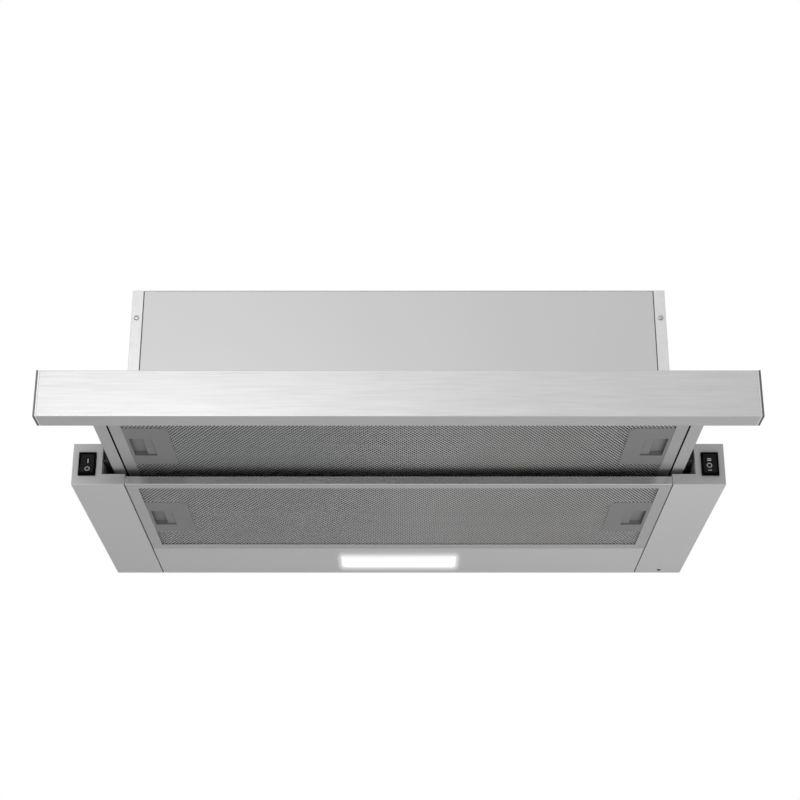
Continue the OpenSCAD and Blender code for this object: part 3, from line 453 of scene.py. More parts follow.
def merged_copy(node):
    """The node's mesh merged, with each flat area dissolved into one face."""
    copy = joined_copy(node)
    bmesh.ops.dissolve_limit(copy, angle_limit=FLAT, verts=copy.verts, edges=copy.edges)
    copy.verts.index_update()
    return copy


def linked(items, neighbours):
    """The items in groups that hang together through their neighbours."""
    groups, left = [], set(items)
    for first in items:
        if first not in left:
            continue
        left.discard(first)
        group, stack = [], [first]
        while stack:
            item = stack.pop()
            group.append(item)
            for other in neighbours(item):
                if other in left:
                    left.discard(other)
                    stack.append(other)
        groups.append(group)
    return groups


def flat_areas(copy):
    """The faces in groups that lie in one plane and touch."""
    return linked(copy.faces, lambda face: [
        other for edge in face.edges for other in edge.link_faces
        if face.normal.angle(other.normal, 0) < 2 * FLAT])


drawn = merged_copy("fascia_panel")
print(len(flat_areas(drawn)), "flat areas on the fascia")
drawn.free()

# %% [markdown]
# ## Folded sheet pieces
# A drawn box has knife edges, and real sheet never does: a fold has an outer radius of about the
# sheet's own thickness, and a cut edge is only broken a little. So every sharp edge of a copy gets
# a bevel weight: full weight for long folds between broad faces, a small one for cut edges, and
# less where a face has no room for it. One Bevel modifier reads those weights, and its hardened
# normals keep the flat faces flat.

# %% Widths of folds and cut edges
SHARP = math.radians(28)
FOLD_LENGTH = 25 * MM
BROAD = 2.4
ROOM_SHARE = 0.42
RUN_ON = math.radians(40)


def reach(face, edge):
    """How far a face goes from one of its edges."""
    start = edge.verts[0].co
    along = (edge.verts[1].co - start).normalized()
    return max((v.co - start - along * (v.co - start).dot(along)).length for v in face.verts)


def edge_rooms(copy):
    """For each edge the shortest way across its flat areas to an edge that faces it."""
    rooms = {}
    for group in flat_areas(copy):
        inside = set(group)
        rims = [loop for face in group for loop in face.loops
                if any(other not in inside for other in loop.edge.link_faces)]
        pairs = [(loop.vert, loop.link_loop_next.vert) for loop in rims]
        ends = np.array([(a.index, b.index) for a, b in pairs]).reshape(-1, 2)
        points = np.array([(a.co, b.co) for a, b in pairs]).reshape(-1, 2, 3)
        for index, loop in enumerate(rims):
            length = loop.edge.calc_length()
            if loop.edge.calc_face_angle(0) < SHARP or length < MERGE:
                continue
            along = (points[index, 1] - points[index, 0]) / length
            inward = np.cross(np.array(group[0].normal), along)
            apart = ~np.isin(ends, ends[index]).any(axis=1)
            away = points[apart] - points[index, 0]
            u, v = away @ along, away @ inward
            near, far = np.clip(u.min(axis=1), 0, length), np.clip(u.max(axis=1), 0, length)
            facing = far - near > MERGE
            (u_from, u_to), (v_from, v_to) = u[facing].T, v[facing].T
            for reached in (near[facing], far[facing]):
                ways = v_from + (v_to - v_from) * (reached - u_from) / (u_to - u_from)
                ways = ways[ways > MERGE]
                if len(ways):
                    rooms[loop.edge] = min(rooms.get(loop.edge, 1.0), ways.min())
    return rooms


def runs_on(edge):
    """The edges that continue an edge without a corner."""
    return [other for vert in edge.verts for other in vert.link_edges if (
        edge.other_vert(vert).co - vert.co).angle(vert.co - other.other_vert(vert).co, 0) < RUN_ON]


def weigh_edges(copy, fold, cut):
    """Gives each run of sharp edges the width of a fold or of a cut, as far as there is room."""
    weight = copy.edges.layers.float.new("bevel_weight_edge")
    rooms = edge_rooms(copy)
    sharp = [edge for edge in copy.edges if len(edge.link_faces) == 2 and edge.calc_face_angle(0) >= SHARP]
    for chain in linked(sharp, runs_on):
        long = max(edge.calc_length() for edge in chain) > FOLD_LENGTH
        broad = max(min(reach(face, edge) for face in edge.link_faces) for edge in chain) > BROAD * fold
        room = min(rooms.get(edge, 1.0) for edge in chain)
        for edge in chain:
            edge[weight] = min(fold if long and broad else cut, ROOM_SHARE * room) / fold


# %% Helpers for finished copies
FRONTAL = 0.98


def new_object(name, mesh):
    """A linked object."""
    obj = bpy.data.objects.new(name, mesh)
    bpy.context.scene.collection.objects.link(obj)
    return obj


def settle(obj):
    """The object with its modifiers applied."""
    depsgraph = bpy.context.evaluated_depsgraph_get()
    mesh = bpy.data.meshes.new_from_object(obj.evaluated_get(depsgraph))
    obj.modifiers.clear()
    old = obj.data
    obj.data = mesh
    bpy.data.meshes.remove(old)
    return obj


def new_piece(name, shape, material):
    """An object from a bmesh, smooth but for its sharp edges."""
    mesh = bpy.data.meshes.new(name)
    shape.to_mesh(mesh)
    shape.free()
    mesh.materials.clear()
    mesh.materials.append(material)
    mesh.shade_smooth()
    mesh.set_sharp_from_angle(angle=SHARP)
    return new_object(name, mesh)


def rounded(name, shape, material, fold, cut, segments):
    """A piece whose folds and cut edges are bevelled."""
    weigh_edges(shape, fold, cut)
    obj = new_piece(name, shape, material)
    bevel = obj.modifiers.new("edges", "BEVEL")
    bevel.limit_method = "WEIGHT"
    bevel.width = fold
    bevel.segments = segments
    bevel.use_clamp_overlap = False
    bevel.loop_slide = False
    bevel.harden_normals = True
    return settle(obj)


def stand_for(obj, node):
    """Lets an object ride and show in place of a CAD node."""
    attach(obj, nodes[node]["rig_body"])
    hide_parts(node)
    return obj


def finished(node, material, fold=0.9 * MM, cut=0.22 * MM, segments=2, front=-1.0):
    """A merged copy that stands for a CAD node, held behind a front plane, bevelled unless fold is 0."""
    copy = merged_copy(node)
    for vert in copy.verts:
        vert.co.y = max(vert.co.y, front)
    name = node + "_finished"
    obj = rounded(name, copy, material, fold, cut, segments) if fold else new_piece(name, copy, material)
    return stand_for(obj, node)


def paint_front(obj, material):
    """Gives the faces that look straight to the front another finish."""
    obj.data.materials.append(material)
    for face in obj.data.polygons:
        if face.normal.y < -FRONTAL:
            face.material_index = 1


def cut_by(shape, point, normal, **settings):
    """Cuts a whole bmesh by a plane."""
    everything = shape.verts[:] + shape.edges[:] + shape.faces[:]
    return bmesh.ops.bisect_plane(shape, geom=everything, plane_co=point, plane_no=normal, **settings)


def paint_beyond(obj, material, x, way, ceiling=1.0):
    """Cuts an object at x and gives what lies beyond it and under the ceiling another finish."""
    index = len(obj.data.materials)
    obj.data.materials.append(material)
    shape = bmesh.new()
    shape.from_mesh(obj.data)
    cut_by(shape, (x, 0, 0), (1, 0, 0))
    for face in shape.faces:
        middle = face.calc_center_median()
        if way * (middle.x - x) > 0 and middle.z < ceiling:
            face.material_index = index
    shape.to_mesh(obj.data)
    shape.free()


# %% Casing
PANEL_SEAM = 0.8 * MM

for node in ("casing_left_side", "casing_right_side", "casing_back_panel"):
    finished(node, galvanised)
finished("casing_top_panel", galvanised, front=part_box("casing_front_panel")[0].y)
front_panel = finished("casing_front_panel", casing_steel)
# A narrow strip of the front panel beside each flange gets painted shade, for the recess behind the
# flange.
for way, flange in ((-1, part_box("casing_left_side")[1].x), (1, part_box("casing_right_side")[0].x)):
    paint_beyond(front_panel, seam_shade, flange - way * PANEL_SEAM, way)
print("casing finished")

# %% Base and drawer sheets
SIDES = (("left", -1), ("right", 1))
GROOVE, SEAM, STRIP = 0.9 * MM, 0.4 * MM, 0.5 * MM

lo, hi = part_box("base_filter_frame")
strip_end, under_ledge = hi.x + SEAM + STRIP, lo.z + MM
for side, sign in SIDES:
    channel = finished(side + "_side_channel", base_steel, fold=0.4 * MM)
    # The channel's front faces get the darker coating: painted shade from the fascia in front of them.
    paint_front(channel, front_shade_steel)
    # Under the ledge, the channel's inner edge next to the filter frame is painted black: a painted shadow
    # in the gap.
    paint_beyond(channel, black_plastic, sign * strip_end, -sign, ceiling=under_ledge)
    rail = finished("drawer_rail_" + side, drawer_steel, fold=0.8 * MM)
    lo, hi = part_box("drawer_rail_" + side)
    # The rail's edge next to the drawer cassette is painted black: a painted shadow in the groove between
    # them.
    paint_beyond(rail, black_plastic, (hi.x if sign < 0 else lo.x) + sign * GROOVE, -sign)
    # The slides and ball retainers get very dark finishes, as painted shade inside the base.
    for slide in ("outer_slide_", "inner_slide_"):
        finished(slide + side, slide_steel, fold=0.4 * MM)
    finished("ball_retainer_" + side, retainer_brass, fold=0)
# The light panel carries the painted glow round its lamp window.
finished("light_panel", painted_glow_steel, fold=0.4 * MM)
for node in ("drawer_top_cover", "drawer_rear_bar"):
    finished(node, drawer_steel, fold=0.7 * MM)
print("base and drawer sheets finished")

# %% Fascia
fascia = finished("fascia_panel", brushed_fascia, cut=0.2 * MM, segments=3)
print("fascia", [round(x / MM, 1) for x in fascia.dimensions], "mm")

# %% Blower and electric pieces
def dress(*rows):
    """Finishes nodes by rows of their names, finish, slot, fold and cut in millimetres and segments; the
    slot is not used.
    """
    for names, material, slot, fold, cut, segments in rows:
        for node in names.split():
            finished(node, material, fold * MM, cut * MM, segments)


dress(("blower_scroll blower_end_left blower_end_right outlet_collar flap_front flap_rear",
       galvanised, "galvanised", 0.5, 0.2, 2),
      ("cable_gland", black_plastic, "black_plastic", 0.4, 0.3, 2),
      ("inlet_guard_left inlet_guard_right", black_plastic, "black_plastic", 0, 0, 2),
      ("motor", motor_grey, "motor_grey", 0.8, 0.4, 2),
      ("motor_shaft", slide_steel, "slide_steel", 0.4, 0.3, 2),
      ("impeller", fan_plastic, "fan_plastic", 0.3, 0.15, 1),
      ("run_capacitor", capacitor_shell, "capacitor_shell", 0.8, 0.6, 2),
      ("terminal_box", white_plastic, "white_plastic", 1.5, 0.5, 3),
      ("lamp_driver", white_plastic, "white_plastic", 1.0, 0.5, 3),
      ("lamp_board", board_white, "board_white", 0.2, 0.1, 2),
      ("flap_pin", screw_steel, "screw_steel", 0.3, 0.3, 2))
print("blower and electric pieces finished")

# %% Latches and switches
CASSETTES = ("drawer", "base")

for place in CASSETTES:
    dress((place + "_latch_plates", latch_grey, "latch_grey", 0.4, 0.25, 2),
          (f"{place}_latch_left {place}_latch_right", latch_grey, "latch_grey", 0.3, 0.2, 2))
dress(("light_switch_body fan_switch_body", black_plastic, "black_plastic", 0.5, 0.3, 3),
      ("light_rocker fan_rocker", rocker_black, "black_plastic", 0.4, 0.25, 3))
print("latches and switches finished")

# %% [markdown]
# ## Grease filter frames
# Each cassette frame is four strips of folded aluminium, cut at an angle and pushed together at the
# corners, where a fine dark line shows. The drawn frame is one ring, so copies of it are cut by the
# mitre planes, which run from the outer corner of the ring to the corner of its opening. Each cut
# end is closed again, and a very small gap stays between neighbours. A flat face with holes is then
# cut along the axes, so that no slanting seam joins a hole to the rim and shows in its bevel.

# %% Mitred frame bars
SIDE_STRIP, FRONT_STRIP, REAR_STRIP = 10.8 * MM, 10.5 * MM, 11.9 * MM
HOOK_LENGTH = 3 * MM
MITRE_GAP = 0.06 * MM
STRAIGHT = 0.9999
MANY = 60


def seams_of(group):
    """The edges between faces of one group."""
    inside = set(group)
    return {edge for face in group for edge in face.edges
            if all(other in inside for other in edge.link_faces)}


def slants(edge):
    """True for an edge that follows no axis."""
    a, b = (vert.co for vert in edge.verts)
    return max(abs(a[i] - b[i]) for i in range(3)) < STRAIGHT * edge.calc_length()


def square_up(copy):
    """Cuts flat areas with holes along the axes and dissolves their slanting seams."""
    for group in flat_areas(copy):
        normal = group[0].normal
        across = [axis for axis in range(3) if abs(normal[axis]) < FLAT]
        corners = {vert for edge in seams_of(group) for vert in edge.verts}
        if len(across) < 2 or not 0 < len(corners) < MANY:
            continue
        for axis in across:
            way = Vector([float(i == axis) for i in range(3)])
            for value in sorted({round(vert.co[axis], 6) for vert in corners if vert.is_valid}):
                parts = {part for face in group for part in (*face.verts, *face.edges)}
                made = bmesh.ops.bisect_plane(copy, geom=list(parts) + group, plane_co=way * value,
                                              plane_no=way, dist=MERGE)
                group = [part for part in made["geom"] if isinstance(part, bmesh.types.BMFace)]
        bmesh.ops.dissolve_edges(copy, edges=list(filter(slants, seams_of(group))), use_verts=False)
    copy.verts.index_update()


def ring_corners(place):
    """The outer corners of a cassette frame, each with the way from it to the opening's corner."""
    lo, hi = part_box(place + "_filter_frame")
    back = hi.y - HOOK_LENGTH
    return [(Vector((x, y, 0)), Vector((in_x, in_y, 0))) for x, y, in_x, in_y in (
        (lo.x, lo.y, SIDE_STRIP, FRONT_STRIP), (hi.x, lo.y, -SIDE_STRIP, FRONT_STRIP),
        (hi.x, back, -SIDE_STRIP, -REAR_STRIP), (lo.x, back, SIDE_STRIP, -REAR_STRIP))]


def cut_end(bar, corner, inward, middle):
    """Cuts a bar by one mitre plane, keeps the side with its middle and closes the cut."""
    across = Vector((-inward.y, inward.x, 0)).normalized()
    if (middle - corner).dot(across) > 0:
        across.negate()
    made = cut_by(bar, corner - across * MITRE_GAP, across, clear_outer=True)
    rim = [part for part in made["geom_cut"] if isinstance(part, bmesh.types.BMEdge)]
    bmesh.ops.edgeloop_fill(bar, edges=rim)


def move_into(target, shape):
    """Adds a bmesh to another one and frees it."""
    mesh = bpy.data.meshes.new("part")
    shape.to_mesh(mesh)
    shape.free()
    target.from_mesh(mesh)
    bpy.data.meshes.remove(mesh)


def frame_bars(place):
    """Four closed bars in one bmesh; a long bar first loses the far half of the ring."""
    corners = ring_corners(place)
    centre = (corners[0][0] + corners[2][0]) / 2
    bars = bmesh.new()
    for index, start in enumerate(corners):
        ends = start, corners[(index + 1) % len(corners)]
        middle = (ends[0][0] + ends[1][0]) / 2
        bar = joined_copy(place + "_filter_frame")
        if index % 2 == 0:
            cut_by(bar, centre, centre - middle, clear_outer=True)
        for corner, inward in ends:
            cut_end(bar, corner, inward, middle)
        move_into(bars, bar)
    bmesh.ops.dissolve_limit(bars, angle_limit=FLAT, verts=bars.verts, edges=bars.edges)
    square_up(bars)
    return bars


for place in CASSETTES:
    bars = frame_bars(place)
    obj = rounded(place + "_frame_bars", bars, filter_aluminium, fold=0.8 * MM, cut=0.15 * MM,
                  segments=3)
    paint_front(obj, bright_aluminium)
    stand_for(obj, place + "_filter_frame")
    print(obj.name, len(obj.data.polygons), "faces")

# %% [markdown]
# ## Expanded mesh
# A grease filter is a stack of expanded aluminium foil: slits are cut and pulled open, so that the
# strands cross in diamonds and every crossing is a solid bond. The diamonds repeat many thousands of
# times, which is work for Geometry Nodes. One cross of two bent strands is made once and put on a
# grid of points, and neighbouring crosses meet at their ends. Points that would lie inside a latch
# are left out. The strands stand on edge, so which family of strands catches the eye depends on the
# side from which it is seen. One family is taller on the left and the other one on the right, with
# a smooth change between them, which gives the two halves their different look.


# %% Helpers for Geometry Nodes trees
def start_tree(name, inputs):
    """A node group with inputs, given as name, type and default, and the sockets that bring them."""
    tree = bpy.data.node_groups.new(name, "GeometryNodeTree")
    for label, kind, default in (("Geometry", "Geometry", None), *inputs):
        socket = tree.interface.new_socket(label, in_out="INPUT", socket_type="NodeSocket" + kind)
        if default is not None:
            socket.default_value = default
    tree.interface.new_socket("Geometry", in_out="OUTPUT", socket_type="NodeSocketGeometry")
    return tree, tree.nodes.new("NodeGroupInput").outputs


def end_tree(tree, shape, material):
    """Ends a tree in Realize Instances and Set Material."""
    real = add(tree, "GeometryNodeRealizeInstances", Geometry=shape)
    painted = add(tree, "GeometryNodeSetMaterial", Geometry=real.outputs[0], Material=material)
    add(tree, "NodeGroupOutput", Geometry=painted.outputs[0])
    return tree


def run_tree(tree, name, base, values):
    """The tree's result on a base mesh, as a plain mesh object of that name."""
    obj = new_object(name, base)
    modifier = obj.modifiers.new("nodes", "NODES")
    modifier.node_group = tree
    for item in tree.interface.items_tree:
        if item.in_out == "INPUT" and item.name in values:
            modifier[item.identifier] = values[item.name]
    return settle(obj)


# %% Tree of the expanded mesh
SHALLOW, DEEP = 0.15, 1.7
TURN_OVER = 60 * MM


def strand(tree, start, slant, profile):
    """One strand of the cross: from corner to corner of a cell, lower in its middle."""
    ends = {}
    for name, side in (("Start", -1), ("End", 1)):
        x = calc(tree, "MULTIPLY", start["Diamond X"], side * slant / 2)
        y = calc(tree, "MULTIPLY", start["Diamond Y"], side / 2)
        ends[name] = add(tree, "ShaderNodeCombineXYZ", X=x, Y=y, Z=start["Wave"]).outputs[0]
    line = add(tree, "GeometryNodeCurveQuadraticBezier", Resolution=2, Middle=(0, 0, 0), **ends)
    upright = add(tree, "GeometryNodeSetCurveNormal", mode="Z_UP", Curve=line.outputs[0])
    lean = calc(tree, "MULTIPLY", start["Lean"], slant)
    leaning = add(tree, "GeometryNodeSetCurveTilt", Curve=upright.outputs[0], Tilt=lean)
    ribbon = add(tree, "GeometryNodeCurveToMesh", Curve=leaning.outputs[0], Profile_Curve=profile)
    return ribbon.outputs[0]


def in_latch(tree, start, place):
    """True for points inside the two latch plates."""
    tests = []
    away = calc(tree, "SUBTRACT", place["Y"], start["Latch Y"])
    for value, operation, limit in ((place["X"], "GREATER_THAN", "Latch X"),
                                    (away, "LESS_THAN", "Latch Half Length")):
        size = calc(tree, "ABSOLUTE", value)
        tests.append(calc(tree, operation, size, start[limit], kind="FunctionNodeCompare"))
    return calc(tree, "AND", *tests, kind="FunctionNodeBooleanMath")


def mesh_tree():
    """Crosses of two strands on a grid of points."""
    tree, start = start_tree("expanded_mesh", (
        ("Columns", "Int", 10), ("Rows", "Int", 10), ("Diamond X", "Float", 0.004),
        ("Diamond Y", "Float", 0.006), ("Wave", "Float", 0.0003), ("Lean", "Float", 0.3),
        ("Strand Width", "Float", 0.0004), ("Strand Depth", "Float", 0.0008), ("Latch X", "Float", 1),
        ("Latch Y", "Float", 0), ("Latch Half Length", "Float", 0), ("Material", "Material", None)))
    grid = {}
    for axis, count in (("X", "Columns"), ("Y", "Rows")):
        steps = calc(tree, "SUBTRACT", start[count], 1)
        grid["Size_" + axis] = calc(tree, "MULTIPLY", steps, start["Diamond " + axis])
        grid["Vertices_" + axis] = start[count]
    points = add(tree, "GeometryNodeMeshGrid", **grid).outputs["Mesh"]
    position = add(tree, "GeometryNodeInputPosition").outputs[0]
    place = add(tree, "ShaderNodeSeparateXYZ", _0=position).outputs
    free = add(tree, "GeometryNodeDeleteGeometry", domain="POINT", Geometry=points,
               Selection=in_latch(tree, start, place))
    profile = add(tree, "GeometryNodeCurvePrimitiveQuadrilateral", Width=start["Strand Width"],
                  Height=start["Strand Depth"])
    cross = add(tree, "GeometryNodeJoinGeometry")
    for slant in (-1, 1):
        depth = between(tree, place["X"], SHALLOW, DEEP, -slant * TURN_OVER, slant * TURN_OVER)
        size = add(tree, "ShaderNodeCombineXYZ", X=1, Y=1, Z=depth)
        spread = add(tree, "GeometryNodeInstanceOnPoints", Points=free.outputs[0],
                     Instance=strand(tree, start, slant, profile.outputs[0]), Scale=size.outputs[0])
        tree.links.new(spread.outputs[0], cross.inputs[0])
    return end_tree(tree, cross.outputs[0], start["Material"])


expanded_mesh = mesh_tree()
print("tree with", len(expanded_mesh.nodes), "nodes")

# %% Mesh pads
DIAMOND = Vector((3.56, 5.63)) * MM
STRAND_WIDTH, STRAND_DEPTH = 0.3 * MM, 0.72 * MM
WAVE = 0.25 * MM
LEAN = math.radians(14)
UNDER_STRIP, UNDER_PLATE = 3 * MM, 2 * MM
CORE_LIFT = 2.6 * MM


def loose_parts(node):
    """The loose parts of a node, each as a list of its points."""
    copy = joined_copy(node)
    parts = linked(copy.verts, lambda vert: [edge.other_vert(vert) for edge in vert.link_edges])
    points = [[vert.co.copy() for vert in part] for part in parts]
    copy.free()
    return points


def span(points):
    """The lowest and highest corner of some points."""
    return Vector(map(min, zip(*points))), Vector(map(max, zip(*points)))


def mesh_layer(place):
    """The outer foil of a pad, centred on the opening and reaching under the strips."""
    corners = ring_corners(place)
    lo, hi = corners[0][0] + corners[0][1], corners[2][0] + corners[2][1]
    middle, size = (lo + hi) / 2, hi - lo
    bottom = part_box(place + "_filter_mesh")[0].z
    left, right = sorted(map(span, loose_parts(place + "_latch_plates")), key=lambda box: box[0].x)
    layer = run_tree(expanded_mesh, place + "_mesh_layer", bpy.data.meshes.new("points"), {
        "Columns": round((size.x + 2 * UNDER_STRIP) / DIAMOND.x),
        "Rows": round((size.y + 2 * UNDER_STRIP) / DIAMOND.y),
        "Diamond X": DIAMOND.x, "Diamond Y": DIAMOND.y, "Wave": WAVE, "Lean": LEAN,
        "Strand Width": STRAND_WIDTH, "Strand Depth": STRAND_DEPTH,
        "Latch X": right[0].x + UNDER_PLATE, "Latch Y": (left[0].y + left[1].y) / 2 - middle.y,
        "Latch Half Length": (left[1].y - left[0].y) / 2 - UNDER_PLATE, "Material": mesh_aluminium})
    depth = -min(v.co.z for v in layer.data.vertices)
    layer.data.transform(Matrix.Translation((middle.x, middle.y, bottom + depth)))
    return stand_for(layer, place + "_filter_mesh")


def mesh_core(place):
    """The deeper layers, as the drawn pad with its underside lifted behind the outer foil."""
    copy = merged_copy(place + "_filter_mesh")
    low = min(v.co.z for v in copy.verts)
    for vert in copy.verts:
        if vert.co.z < low + MM:
            vert.co.z += CORE_LIFT
    core = new_piece(place + "_mesh_core", copy, mesh_shade)
    return stand_for(core, place + "_filter_mesh")


for place in CASSETTES:
    layer, core = mesh_layer(place), mesh_core(place)
    print(layer.name, len(layer.data.polygons), "faces,", core.name, len(core.data.polygons), "faces")

# %% [markdown]
# ## Latch springs
# Behind every finger tab sits a small coil spring, which pushes the tongue into its slot. Its ends
# are wound close, so that they sit flat. A Spiral curve gives the coils. Each spring rides with the
# body of the drawn springs that it stands for.

# %% Springs
SPRING_FROM, SPRING_TO = 201.9 * MM, 214.7 * MM
SPRING_RADIUS, WIRE_RADIUS = 1.5 * MM, 0.3 * MM
SPRING_TURNS = 5.0


def spring_tree():
    """Open coils between two close ones."""
    tree, start = start_tree("spring", (
        ("Turns", "Float", 5), ("Radius", "Float", 0.0015), ("Length", "Float", 0.011),
        ("Wire", "Float", 0.0003), ("Material", "Material", None)))
    close = calc(tree, "MULTIPLY", start["Wire"], 2)
    wide = calc(tree, "MULTIPLY_ADD", close, -3, start["Length"])
    coils = add(tree, "GeometryNodeJoinGeometry")
    for height, turns, share, base in ((close, 1.0, 0.5, 0), (wide, start["Turns"], 1.5, 0),
                                       (close, 1.0, 1.5, wide)):
        coil = add(tree, "GeometryNodeCurveSpiral", Resolution=20, Rotations=turns, Height=height,
                   Start_Radius=start["Radius"], End_Radius=start["Radius"])
        lift = add(tree, "ShaderNodeCombineXYZ", Z=calc(tree, "MULTIPLY_ADD", close, share, base))
        moved = add(tree, "GeometryNodeTransform", Geometry=coil.outputs[0],
                    Translation=lift.outputs[0])
        tree.links.new(moved.outputs[0], coils.inputs[0])
    circle = add(tree, "GeometryNodeCurvePrimitiveCircle", Resolution=8, Radius=start["Wire"])
    wire = add(tree, "GeometryNodeCurveToMesh", Curve=coils.outputs[0],
               Profile_Curve=circle.outputs[0], Fill_Caps=True)
    return end_tree(tree, wire.outputs[0], start["Material"])


spring = spring_tree()
room = SPRING_TO - SPRING_FROM
along_x = Matrix.Rotation(math.radians(90), 4, "Y")
for place in CASSETTES:
    node = place + "_latch_springs"
    lo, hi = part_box(node)
    for side, sign in SIDES:
        obj = run_tree(spring, f"{place}_{side}_spring", bpy.data.meshes.new("coil"), {
            "Turns": SPRING_TURNS, "Radius": SPRING_RADIUS, "Length": room - 2 * WIRE_RADIUS,
            "Wire": WIRE_RADIUS, "Material": screw_steel})
        obj.data.shade_smooth()
        start_x = min(sign * SPRING_FROM, sign * SPRING_TO) + WIRE_RADIUS
        middle = Matrix.Translation((start_x, (lo.y + hi.y) / 2, (lo.z + hi.z) / 2))
        obj.data.transform(middle @ along_x)
        stand_for(obj, node)
        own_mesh(obj)
print("spring room", round(room / MM, 2), "mm")

# %% [markdown]
# ## Screws
# The casing is held by pan head screws with a cross recess. One screw is turned on a lathe, in the
# shape of a profile that is spun round, and its recess is cut out with a Boolean modifier. The
# places come from the drawn screws: each loose part tells where its head sits and which way it
# faces. Geometry Nodes put a copy on each of these points. The screws that show from the front and
# from below are smaller ones than those inside, so their copies are scaled down.

# %% One screw
HEAD_RADIUS, HEAD_HEIGHT = 3.6 * MM, 2.2 * MM
HEAD_FOOT_SHARE, HEAD_EDGE_SHARE, HEAD_CURVE = 0.97, 0.18, 0.6
SHANK_RADIUS, THREAD_PITCH = 1.9 * MM, 1.3 * MM
CREST_SHARE, ROOT_SHARE = 0.35, 0.8
WIDE_SHARE = 0.8
RECESS_WIDTH, RECESS_REACH, RECESS_DEPTH = 0.95 * MM, 2.1 * MM, 1.5 * MM
RECESS_TAPER = 0.55
LATHE_STEPS = 28


def skin(shape, rings):
    """Joins rings of points by faces; a ring may also be a single point."""
    for low, high in zip(rings, rings[1:]):
        steps = max(len(low), len(high))
        for step in range(steps):
            after = (step + 1) % steps
            corners = ((low, step), (low, after), (high, after), (high, step))
            loop = dict.fromkeys(ring[index % len(ring)] for ring, index in corners)
            shape.faces.new(list(loop))


def lathe(outline, steps=LATHE_STEPS):
    """A closed bmesh of revolution round Z, from an outline of radius and height."""
    shape = bmesh.new()
    turns = [2 * math.pi * step / steps for step in range(steps)]
    skin(shape, [[shape.verts.new((radius * math.cos(a), radius * math.sin(a), height))
                  for a in (turns[:1] if radius < MERGE else turns)] for radius, height in outline])
    bmesh.ops.recalc_face_normals(shape, faces=shape.faces)
    return shape


def cut_out(obj, shape, **settings):
    """Cuts a bmesh out of an object."""
    tool = new_piece("tool", shape, obj.data.materials[0])
    cut = obj.modifiers.new("cut", "BOOLEAN")
    cut.object = tool
    cut.operation = "DIFFERENCE"
    cut.solver = "EXACT"
    for name, value in settings.items():
        setattr(cut, name, value)
    settle(obj)
    bpy.data.objects.remove(tool)
    return obj


def cross_recess():
    """A solid cross that narrows with depth."""
    shape = bmesh.new()
    for turn in range(2):
        for vert in bmesh.ops.create_cube(shape, size=1)["verts"]:
            deep = vert.co.z < 0
            x = vert.co.x * 2 * RECESS_REACH * (RECESS_TAPER if deep else 1.0)
            y = vert.co.y * RECESS_WIDTH
            z = HEAD_HEIGHT + (-RECESS_DEPTH if deep else RECESS_DEPTH)
            vert.co = (x, y, z) if turn == 0 else (y, x, z)
    return shape


def screw(length):
    """A pan head screw whose head stands on the origin."""
    outline = [(0, -length)]
    low = length
    while low > THREAD_PITCH:
        outline += [(SHANK_RADIUS, THREAD_PITCH * CREST_SHARE - low),
                    (SHANK_RADIUS * ROOT_SHARE, THREAD_PITCH - low)]
        low -= THREAD_PITCH
    outline += [(SHANK_RADIUS, 0), (HEAD_RADIUS * HEAD_FOOT_SHARE, 0),
                (HEAD_RADIUS, HEAD_HEIGHT * HEAD_EDGE_SHARE)]
    for turn in map(math.radians, range(15, 90, 15)):
        rise = HEAD_EDGE_SHARE + (1 - HEAD_EDGE_SHARE) * math.sin(turn)
        outline.append((HEAD_RADIUS * math.cos(turn) ** HEAD_CURVE, HEAD_HEIGHT * rise))
    outline.append((0, HEAD_HEIGHT))
    body = new_piece("screw_body", lathe(outline), screw_steel)
    cut_out(body, cross_recess(), use_self=True)
    body.data.set_sharp_from_angle(angle=SHARP)
    return body


def screw_places(node):
    """For each drawn screw its seat, the way that its head faces and the length of its shank."""
    places = []
    for part in loose_parts(node):
        lo, hi = span(part)
        size, middle = hi - lo, (lo + hi) / 2
        axis = min(range(3), key=lambda i: abs(size[(i + 1) % 3] - size[(i + 2) % 3]))
        one, other = (axis + 1) % 3, (axis + 2) % 3
        wide = [point[axis] for point in part if math.hypot(
            point[one] - middle[one], point[other] - middle[other]) > WIDE_SHARE * HEAD_RADIUS]
        sign = 1 if sum(wide) / len(wide) > middle[axis] else -1
        facing = Vector([sign if i == axis else 0 for i in range(3)])
        seat = middle + facing * (size[axis] / 2 - HEAD_HEIGHT)
        places.append((seat, facing, round(size[axis] - HEAD_HEIGHT, 5)))
    return places


# %% Screws on their places
SCREW_SIZES = {(0, 0, -1): 0.42, (0, -1, 0): 0.74}
SCREW_NAMES = {(0, 0, -1): "_below", (0, -1, 0): "_front"}


def place_tree():
    """One object on each point, turned by the point's own angles."""
    tree, start = start_tree("put_on_points", (
        ("Instance", "Object", None), ("Material", "Material", None)))
    one = add(tree, "GeometryNodeObjectInfo", Object=start["Instance"])
    turn = add(tree, "GeometryNodeInputNamedAttribute", data_type="FLOAT_VECTOR", Name="turn")
    turned = add(tree, "FunctionNodeEulerToRotation", _0=turn.outputs["Attribute"])
    spread = add(tree, "GeometryNodeInstanceOnPoints", Points=start["Geometry"],
                 Instance=one.outputs["Geometry"], Rotation=turned.outputs[0])
    return end_tree(tree, spread.outputs[0], start["Material"])


def point_mesh(places, turns):
    """A mesh of points that carry their angles."""
    mesh = bpy.data.meshes.new("points")
    mesh.from_pydata([tuple(place) for place in places], [], [])
    layer = mesh.attributes.new("turn", "FLOAT_VECTOR", "POINT")
    for index, turn in enumerate(turns):
        layer.data[index].vector = turn
    return mesh


